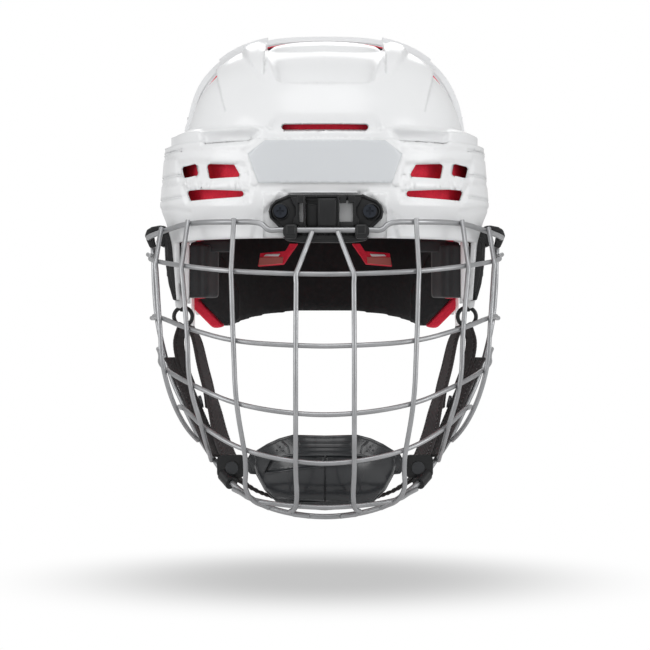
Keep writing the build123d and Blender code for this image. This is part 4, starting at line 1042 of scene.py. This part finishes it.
# A hook for the guard's side wire: leg, bar and back, with a three-cornered hole between them
HOOK = (
    (
        [
            (144.8, 235.6), (147, 229.6), (152.5, 226.6), (155.4, 232.6),
            (152.4, 234.4), (155.8, 247), (150.2, 248.2), (147.4, 242.4),
        ],
        -33.5, -22.5, 0.9,
    ),
    (
        [
            (150, 227.2), (160, 225.2), (165.4, 226), (168.6, 229.6),
            (166, 232.4), (159.8, 231.4), (153.4, 233),
        ],
        -34.0, -22.0, 0.9,
    ),
    (
        [
            (158.6, 231.4), (161.4, 229.2), (168.6, 229.8), (169.4, 240),
            (162.6, 247), (156, 243.4), (157.2, 238),
        ],
        -31.0, -9.0, 0.9,
    ),
)
# The white edge of the temple beside the pad, and the ear guard's tab below the anchor
TEMPLE_EDGE = (
    ([(181.6, 242), (189.6, 242), (189.4, 296.6), (186.4, 300.6), (182.4, 300.6)], -53.4, -49, 0.8),
    ([(174.8, 299.8), (183, 299.8), (183, 306), (180.4, 308.6), (175.8, 307.2)], -18.4, -16.4, 0.5),
)
# The side screws' heads sink into the anchors and hooks: from where, and by which share
SINK_FROM, SINK = 101 * MM, 0.8
# Finish of the CAD nodes whose names hold these words
NODE_FINISHES = {
    "strap_ring": "fitting",
    "chin_tab": "fitting",
    "ear_guard": "clear",
    "ear_rivets": "rivet",
    "mount_screws": "steel",
    "size_screws": "screw",
    "nuts": "screw",
    "snap": "snap",
}


class HELMET_OT_fittings(bpy.types.Operator):
    """Mould the anchors and hooks, and finish the screws, rings, snaps and ear guards"""

    bl_idname = "helmet.fittings"
    bl_label = "Fittings"

    def execute(self, context):
        for side, word in SIDES:
            rim = rod([place(column, row, -33.2, side) for column, row in ANCHOR_WINDOW], 0.45, True)
            for name, parts in (
                ("strap_anchor", slabs(ANCHOR, side) + [rim]),
                ("side_hook", slabs(HOOK, side)),
            ):
                piece = joined(f"{name}_{word}_moulded", parts)
                shade_crisp(piece, 40)
                place_piece(piece, "front_half", "fitting", (f"{name}_{word}",))
            edge = joined(f"temple_edge_{word}", slabs(TEMPLE_EDGE, side))
            shade_crisp(edge, 40)
            place_piece(edge, "front_half", "shell", ())
        sunk = merged_copy("side_screws", "side_screws_sunk")
        for point in sunk.data.vertices:
            out = max(0, abs(point.co.x) - SINK_FROM)
            point.co.x -= math.copysign(out * SINK, point.co.x)
        shade_crisp(sunk, 35)
        place_piece(sunk, "front_half", "screw", ("side_screws",))
        for name in nodes:
            for words, finish in NODE_FINISHES.items():
                if words in name:
                    dress_node(name, finish_named(finish))
        return {"FINISHED"}


# The mount bracket. Its left half mirrors about this column: ear, post, step beside the window, jaw.
BRACKET_MIDDLE = 326.3
BRACKET_SIDE = (
    (
        [
            (290.5, 194.4), (298.4, 194.4), (298.4, 236), (286, 236), (281, 227.5),
            (271, 217), (269.4, 211.5), (271, 206), (276, 200.8),
        ],
        -130.4, -127.0, 0.5,
    ),
    (
        [
            (291, 197), (298.2, 197), (298.2, 225), (293.6, 225),
            (293.6, 219), (296, 215.5), (296, 207), (293.4, 203.5),
        ],
        -132.6, -130.0, 0.4,
    ),
    (rectangle(297.2, 202.6, 299.6, 226), -131.6, -128.6, 0.3),
    (
        [
            (286.5, 224.2), (295.8, 224.2), (297.4, 226), (297.4, 235.5),
            (295.5, 238.6), (286, 238.6), (283, 234), (283, 228.4),
        ],
        -139.9, -131.0, 0.7,
    ),
)
BRACKET_RIM = [
    (281.4, 227.5), (271.3, 217.2), (270.3, 211.5), (271.8, 206.4), (276.5, 201.5), (290.8, 195.4),
]
SCREW_AT, SCREW_RING, SCREW_STEPS = (280.8, 211.6), 7.6, 28
SCREW_CIRCLE = [
    (
        SCREW_AT[0] + SCREW_RING * math.cos(2 * math.pi * number / SCREW_STEPS),
        SCREW_AT[1] + SCREW_RING * math.sin(2 * math.pi * number / SCREW_STEPS),
    )
    for number in range(SCREW_STEPS)
]
# Raised lines: route, depth, radius, and whether it closes
BRACKET_LINES = (
    (BRACKET_RIM, -130.6, 0.95, False),
    (SCREW_CIRCLE, -130.5, 0.75, True),
    (rectangle(287.2, 226.4, 295, 233.8), -139.9, 0.4, True),
)
TOOTH_FIRST, TOOTH_STEP, TOOTH_WIDE, TEETH = 302, 5.6, 3.6, 9
BRACKET = (
    # Top bar with its blocks
    ([(288, 194.4), (364.6, 194.4), (366, 197.4), (286.6, 197.4)], -131.6, -127.0, 0.5),
    (rectangle(294, 197, 358.6, 200.2), -128.6, -127.2, 0.3),
    (rectangle(297.6, 194.8, 304.4, 202.8), -132.8, -128.0, 0.4),
    (rectangle(308.6, 194.8, 316.6, 197.2), -132.8, -128.0, 0.4),
    (rectangle(339.8, 194.8, 346.6, 202.8), -132.8, -128.0, 0.4),
    (rectangle(348.4, 194.8, 355.2, 202.8), -132.8, -128.0, 0.4),
    # Rails on both sides of the slider, and the sunk panel beside it
    (rectangle(303.5, 196.4, 305.5, 228), -133.4, -128.0, 0.4),
    (rectangle(337.5, 196.4, 339.6, 228), -133.4, -128.0, 0.4),
    (rectangle(307.2, 205.6, 317.4, 228), -128.5, -127.4, 0.2),
    (rectangle(307.2, 203.4, 317.4, 205), -128.6, -127.4, 0.3),
    # Dark bed that the slider moves over
    (rectangle(306, 199.4, 338, 227.6), -128.4, -127.3, 0.2),
    # Sill under the windows, with its teeth
    (rectangle(299, 221.8, 305.4, 229.5), -131.4, -127.4, 0.4),
    ([(339, 221.6), (354, 221.6), (356, 225), (356, 229.5), (339, 229.5)], -131.4, -127.4, 0.4),
    (rectangle(297.4, 228.2, 357, 235.6), -131.2, -127.2, 0.4),
    *(
        (rectangle(left, 233.6, left + TOOTH_WIDE, 236.2), -132.6, -130.0, 0.3)
        for left in (TOOTH_FIRST + number * TOOTH_STEP for number in range(TEETH))
    ),
    # Flat bar and lip below the wire
    ([(297.4, 235), (356.2, 235), (357.8, 239.2), (295.4, 239.2)], -134.4, -128.0, 0.5),
    (
        [(283, 237), (369.6, 237), (366, 240.6), (350, 242.6), (302, 242.6), (286.8, 240.6)],
        -132.4, -127.4, 0.5,
    ),
)
# The lock slider: a flat block between its rails, bare in front
SLIDER = (
    (rectangle(318, 198, 337, 227.6), -133.2, -129.0, 0.5),
    (rectangle(319.4, 199, 335.6, 226), -133.9, -132.6, 0.5),
)


def bracket_parts():
    """The mount bracket from its picture: ears, rims, rails, windows' frames, jaws and the lip."""
    parts = slabs(BRACKET)
    for side, _ in SIDES:
        for outline, *sizes in BRACKET_SIDE:
            parts.append(slab(mirrored(outline, side, BRACKET_MIDDLE), *sizes))
        for line, depth, radius, closed in BRACKET_LINES:
            route = [place(column, row, depth) for column, row in mirrored(line, side, BRACKET_MIDDLE)]
            parts.append(rod(route, radius, closed))
    return parts


class HELMET_OT_bracket(bpy.types.Operator):
    """Mould the mount bracket and its lock slider"""

    bl_idname = "helmet.bracket"
    bl_label = "Bracket"

    def execute(self, context):
        for name, body, parts in (
            ("mount_bracket", "front_half", bracket_parts()),
            ("lock_slider", "lock_slider", slabs(SLIDER)),
        ):
            piece = joined(name + "_moulded", parts)
            shade_crisp(piece, 40)
            place_piece(piece, body, "fitting", (name,))
        return {"FINISHED"}


class HELMET_OT_guard(bpy.types.Operator):
    """Paint the wires of the face guard"""

    bl_idname = "helmet.guard"
    bl_label = "Face guard"

    def execute(self, context):
        for name in nodes:
            if name.startswith("guard_") and ("wire" in name or "upright" in name):
                dress_node(name, finish_named("wire"))
        return {"FINISHED"}


# The chin cup in the picture: left halves of its outline and its sunk panel, and its left arm with
# the block on it
CUP_OUTLINE = (
    (325.2, 437.4), (293, 436.6), (280, 440), (268, 445.5), (257.5, 452), (254.5, 461),
    (258, 474), (266, 489), (277, 500), (296, 506.5), (325.2, 508.5),
)
# This one doesn't start in the middle, so with its mirror it crosses itself: known, and left so
CUP_PANEL = (
    (264, 473.5), (270.5, 459.5), (290, 455.5), (325.2, 455), (325.2, 502.5), (300, 502.5), (276, 498),
)
CUP_ARM = (
    (
        [
            (242.5, 459), (248, 458), (251, 452), (262, 450.5), (269, 456), (269.5, 471), (262, 475),
            (250, 474), (247.5, 470.5), (242.5, 470),
        ],
        -88.5, -84.0, 0.6,
    ),
    (
        [(248.5, 460.5), (253, 454.5), (261, 453.5), (266, 458), (266, 469.5), (260, 472), (252, 471.5)],
        -89.4, -87.0, 0.5,
    ),
)
# Its small raised lines: a loop and two ribs at its top, a crease and three dots on each half
CUP_LOOP = [(300, 442.3), (350.4, 442.3), (351.6, 446.8), (298.8, 446.8)]
CUP_RIBS = ((451.0, 26), (454.2, 27))
CUP_CREASE = [(282, 441.5), (288, 446.5), (289.5, 453)]
CUP_DOTS, DOT_HALF = [(280, 447), (277, 450.5), (283, 451)], 0.4
# Its front as a bulge: middle row, half width and height in pixels, depth of its sides and bulge
CUP_LEVEL, CUP_HALF, CUP_TALL, CUP_SIDE, CUP_BULGE = 469.0, 74.0, 40.0, -85.0, 31.0
CUP_ROUND, CUP_DROP = 2.3, 0.3
# Its mesh: the middle of the rings, points round it, rings, depth and soft edge of the panel
CUP_MIDDLE, CUP_TURNS, CUP_RINGS = (PIXEL_MIDDLE, 472.0), 220, 56
PANEL_SUNK, PANEL_SOFT = 2.2, (-0.3, 2.4)
LINE_STEP = 1.5
# Below this a direction and a line of the outline count as parallel, and a line's ends have slack
PARALLEL, SLACK = 1e-9, 1e-6


def cup_depth(column, row, back=0.0):
    """Depth in millimetres of the cup's front at a pixel."""
    wide = min(1, abs(column - PIXEL_MIDDLE) / CUP_HALF)
    tall = (row - CUP_LEVEL) / CUP_TALL
    return CUP_SIDE - CUP_BULGE * (1 - wide**CUP_ROUND) * (1 - CUP_DROP * tall**2) + back


def half_and_mirror(outline):
    """An outline, then the mirror of all but its ends, backwards."""
    return list(outline) + mirrored(outline[-2:0:-1], -1)


def reach_to(outline, way):
    """How far the outline is from the cup's middle in a direction."""
    best = 0
    for (c1, r1), (c2, r2) in zip(outline, outline[1:] + outline[:1]):
        dc, dr = c2 - c1, r2 - r1
        c0, r0 = c1 - CUP_MIDDLE[0], r1 - CUP_MIDDLE[1]
        cross = way[0] * dr - way[1] * dc
        if abs(cross) >= PARALLEL:
            share = (c0 * way[1] - r0 * way[0]) / cross
            if -SLACK <= share <= 1 + SLACK:
                best = max(best, (c0 * dr - r0 * dc) / cross)
    return best


def cup_skin(back, wall, grow, panel):
    """A sheet in the cup's shape with a wall, as a bmesh: rings round its middle."""
    outline = half_and_mirror(CUP_OUTLINE)
    hollow = half_and_mirror(CUP_PANEL)
    ways = [2 * math.pi * number / CUP_TURNS for number in range(CUP_TURNS)]
    ways = [(math.cos(angle), math.sin(angle)) for angle in ways]
    reaches = [reach_to(outline, way) * grow for way in ways]
    for _ in range(2):
        reaches = [
            (reaches[k - 1] + 2 * reaches[k] + reaches[(k + 1) % CUP_TURNS]) / 4 for k in range(CUP_TURNS)
        ]
    work = bmesh.new()

    def point(way, radius, deep):
        column, row = CUP_MIDDLE[0] + way[0] * radius, CUP_MIDDLE[1] + way[1] * radius
        dish = 0
        if panel and deep == 0:
            dish = PANEL_SUNK * step_up(inside_distance(hollow, column, row), *PANEL_SOFT)
        return work.verts.new(place(column, row, cup_depth(column, row, back) + dish + deep))

    rims = []
    for deep in (0, wall):
        centre = point((0, 0), 0, deep)
        layer = [
            [point(way, reach * ring / CUP_RINGS, deep) for way, reach in zip(ways, reaches)]
            for ring in range(1, CUP_RINGS + 1)
        ]
        rims.append(layer[-1])
        for number in range(CUP_TURNS):
            after = (number + 1) % CUP_TURNS
            work.faces.new((centre, layer[0][number], layer[0][after]))
            for one, two in zip(layer, layer[1:]):
                work.faces.new((one[number], two[number], two[after], one[after]))
    outer, inner = rims
    for number in range(CUP_TURNS):
        after = (number + 1) % CUP_TURNS
        work.faces.new((outer[number], inner[number], inner[after], outer[after]))
    bmesh.ops.recalc_face_normals(work, faces=work.faces)
    return work


def cup_rod(points, radius, lift, closed=False):
    """A bar on the cup's front, along straight lines between pixels."""
    filled = []
    for (c1, r1), (c2, r2) in zip(points, points[1:] + (points[:1] if closed else [])):
        parts = max(1, round(math.hypot(c2 - c1, r2 - r1) / LINE_STEP))
        filled += [(c1 + (c2 - c1) * k / parts, r1 + (r2 - r1) * k / parts) for k in range(parts)]
    if not closed:
        filled.append(points[-1])
    return rod([place(c, r, cup_depth(c, r) - lift) for c, r in filled], radius, closed)


class HELMET_OT_chin_cup(bpy.types.Operator):
    """Mould the chin cup, its arms and its foam"""

    bl_idname = "helmet.chin_cup"
    bl_label = "Chin cup"

    def execute(self, context):
        parts = [
            cup_skin(0.0, 2.4, 1.0, True),
            cup_rod(half_and_mirror(CUP_OUTLINE), 1.15, -0.6, True),
            cup_rod(half_and_mirror(CUP_PANEL), 0.65, 0.0, True),
            cup_rod(CUP_LOOP, 0.62, 0.2, True),
        ]
        for row, half in CUP_RIBS:
            parts.append(cup_rod([(PIXEL_MIDDLE - half, row), (PIXEL_MIDDLE + half, row)], 0.55, 0.1))
        for side, _ in SIDES:
            for outline, *sizes in CUP_ARM:
                parts.append(slab(mirrored(outline, side), *sizes))
            parts.append(cup_rod(mirrored(CUP_CREASE, side), 0.5, 0.1))
            for column, row in mirrored(CUP_DOTS, side):
                parts.append(cup_rod([(column - DOT_HALF, row), (column + DOT_HALF, row)], 0.5, 0.1))
        piece = joined("chin_cup_moulded", parts)
        shade_crisp(piece, 35)
        place_piece(piece, "chin_cup", "cup", ("chin_cup",))
        lining = joined("chin_cup_foam_moulded", [cup_skin(3.2, 6.0, 1.03, False)])
        soften(lining, context.scene.helmet_soft.pad_voxel, 2)
        place_piece(lining, "chin_cup", "cup_foam", ("chin_cup_foam",))
        return {"FINISHED"}


# The straps of one side: name, body, node it stands for, share of the width, and from front to
# back its pixels, depths and turns
STRAPS = (
    (
        "chin_strap_webbing", "strap_{}", "chin_strap_{}", 1.0,
        (
            (190, 326, -14, 14), (197, 340, -17, 20), (203, 366, -27, 24),
            (209, 391, -38, 24), (211, 410, -44, 22),
        ),
    ),
    (
        "ring_strap_webbing", "strap_{}", None, 0.9,
        ((183, 324, -12, 20), (179, 342, -14, 28), (182, 362, -19, 28), (189.5, 382, -26, 24)),
    ),
    (
        "lower_strap_webbing", "face_guard", "guard_lower_strap_{}", 0.95,
        (
            (211.5, 395, -42, 22), (215.5, 412, -50, 34), (220, 432, -60, 42),
            (226, 450, -72, 46), (231, 460, -79, 46),
        ),
    ),
    (
        "guard_strap_webbing", "face_guard", "guard_strap_{}", 0.95,
        (
            (172, 358, -21, 50), (183, 380, -30, 44), (195, 408, -43, 42),
            (206, 434, -58, 44), (217, 456, -76, 48),
        ),
    ),
)
# Half of the strap under the cup: pixel, depth, and how its width turns and slants
CUP_STRAP = (
    (233, 472, -77, 0.75, -0.5),
    (243, 482, -76, 0.6, -0.4),
    (262, 493, -75, 0.35, -0.2),
    (290, 501, -74, 0.1, -0.05),
    (325.2, 504, -74, 0, 0),
)


class HELMET_OT_straps(bpy.types.Operator):
    """Lay the webbing"""

    bl_idname = "helmet.straps"
    bl_label = "Straps"

    def execute(self, context):
        width, thick = context.scene.helmet_soft.webbing_width, context.scene.helmet_soft.webbing_thick
        for side, word in SIDES:
            for name, body, node, share, spots in STRAPS:
                controls = []
                for column, row, depth, turn in spots:
                    angle = math.radians(turn)
                    across = Vector((-side * math.sin(angle), math.cos(angle), 0))
                    controls.append((place(column, row, depth, side), across))
                piece = strap(f"{name}_{word}", controls, share * width, thick)
                replaced = (node.format(word),) if node else ()
                place_piece(piece, body.format(word), "webbing", replaced)
        controls = [
            (place(column, row, depth, side), Vector((-side * math.sin(turn), math.cos(turn), slant)))
            for side, spots in ((1, CUP_STRAP), (-1, CUP_STRAP[-2::-1]))
            for column, row, depth, turn, slant in spots
        ]
        piece = strap("cup_strap_webbing", controls, width, thick)
        place_piece(piece, "face_guard", "webbing", ("cup_strap",))
        return {"FINISHED"}


# The helmet's soft shadow, painted on the floor: from and to this distance, and its light there
PAINTED_FLOOR_SHADOW = (0.02, 0.25, 0.56, 1.0)
# Lamps: name, place, size, power of the key or side lamps, and its share
LAMPS = (
    ("key", (0, -1.1, 1.5), 1.6, "key_power", 1.0),
    ("left side", (1.5, -0.7, 0.35), 1.1, "side_power", 1.0),
    ("right side", (-1.5, -0.7, 0.35), 1.1, "side_power", 1.0),
    ("back", (0, 1.3, 0.9), 1.0, "side_power", 0.6),
)


def seen_directly(tree, hidden, shown, end):
    """Shows one shader to the camera, and gives light from the other."""
    path = tree.nodes.new("ShaderNodeLightPath").outputs
    seen = sum_up(tree, "MAXIMUM", path["Is Camera Ray"], path["Is Transmission Ray"])
    mixed = add(tree, "ShaderNodeMixShader", {0: seen, 1: hidden, 2: shown})
    tree.links.new(mixed.outputs[0], tree.nodes[end].inputs["Surface"])


def floor_material():
    """White floor with the helmet's soft shadow painted into its light, which melts into the background."""
    material, tree, shader = new_material("pale floor")
    shader.inputs["Base Color"].default_value = (0.8, 0.8, 0.8, 1)
    shader.inputs["Roughness"].default_value = 0.9
    shader.inputs["Specular IOR Level"].default_value = 0.0
    # Painted shadow: the white light the camera sees dims towards the middle, by distance alone
    away = add(tree, "ShaderNodeVectorMath", {0: where(tree)}, operation="LENGTH").outputs["Value"]
    values = dict(enumerate((away, *PAINTED_FLOOR_SHADOW)))
    painted_shadow = add(tree, "ShaderNodeMapRange", values, interpolation_type="SMOOTHERSTEP")
    white = add(tree, "ShaderNodeEmission", {"Color": WHITE, "Strength": painted_shadow.outputs[0]})
    seen_directly(tree, shader.outputs[0], white.outputs[0], "Material Output")
    return material


class HELMET_OT_stage(bpy.types.Operator):
    """Place the camera, floor and lights"""

    bl_idname = "helmet.stage"
    bl_label = "Stage"

    def execute(self, context):
        sizes = context.scene.helmet_stage
        bpy.ops.mesh.primitive_circle_add(
            vertices=96, radius=6, fill_type="NGON", location=(0, 0, sizes.floor_height)
        )
        floor = context.object
        floor.name = "floor"
        dress(floor, floor_material())
        for name, spot, size, power, share in LAMPS:
            lamp = bpy.data.lights.new(name, "AREA")
            lamp.shape, lamp.size, lamp.energy = "DISK", size, getattr(sizes, power) * share
            holder = linked(lamp, name)
            holder.location = spot
            holder.rotation_euler = (Vector((0, 0, 0)) - Vector(spot)).to_track_quat("-Z", "Y").to_euler()
        world = bpy.data.worlds.new("studio")
        context.scene.world = world
        world.use_nodes = True
        tree = world.node_tree
        dim = tree.nodes["Background"]
        dim.inputs["Color"].default_value = WHITE
        dim.inputs["Strength"].default_value = sizes.fill
        bright = add(tree, "ShaderNodeBackground", {"Color": WHITE, "Strength": 1.0})
        seen_directly(tree, dim.outputs[0], bright.outputs[0], "World Output")
        view = bpy.data.cameras.new("camera")
        view.lens, view.sensor_width = sizes.lens, 36
        view.clip_start, view.clip_end = 0.05, 30
        camera = linked(view, "camera")
        camera.location = (0, -sizes.camera_distance, sizes.camera_height)
        camera.rotation_euler = (math.pi / 2, 0, 0)
        context.scene.camera = camera
        context.scene.view_settings.view_transform = "Standard"
        return {"FINISHED"}


steps = (
    HELMET_OT_shells,
    HELMET_OT_foams,
    HELMET_OT_pads,
    HELMET_OT_fittings,
    HELMET_OT_bracket,
    HELMET_OT_guard,
    HELMET_OT_chin_cup,
    HELMET_OT_straps,
    HELMET_OT_stage,
)


class HELMET_PT_panel(bpy.types.Panel):
    """Steps and sizes of the helmet's looks"""

    bl_idname = "HELMET_PT_panel"
    bl_label = "Helmet"
    bl_space_type = "VIEW_3D"
    bl_region_type = "UI"
    bl_category = "Helmet"

    def draw(self, context):
        scene = context.scene
        for settings in (scene.helmet_finishes, scene.helmet_soft, scene.helmet_stage):
            box = self.layout.box()
            for key in settings.bl_rna.properties.keys():
                if key not in ("rna_type", "name"):
                    box.prop(settings, key)
        for step in steps:
            self.layout.operator(step.bl_idname)


classes = (HelmetFinishes, HelmetSoftSizes, HelmetStage, *steps, HELMET_PT_panel)


def register():
    for item in classes:
        bpy.utils.register_class(item)
    bpy.types.Scene.helmet_finishes = PointerProperty(type=HelmetFinishes)
    bpy.types.Scene.helmet_soft = PointerProperty(type=HelmetSoftSizes)
    bpy.types.Scene.helmet_stage = PointerProperty(type=HelmetStage)


def unregister():
    del bpy.types.Scene.helmet_stage
    del bpy.types.Scene.helmet_soft
    del bpy.types.Scene.helmet_finishes
    for item in reversed(classes):
        bpy.utils.unregister_class(item)


def main():
    register()
    bpy.ops.object.select_all(action="DESELECT")
    bpy.ops.helmet.shells()
    bpy.ops.helmet.foams()
    bpy.ops.helmet.pads()
    bpy.ops.helmet.fittings()
    bpy.ops.helmet.bracket()
    bpy.ops.helmet.guard()
    bpy.ops.helmet.chin_cup()
    bpy.ops.helmet.straps()
    bpy.ops.helmet.stage()


if __name__ == "__main__":
    main()
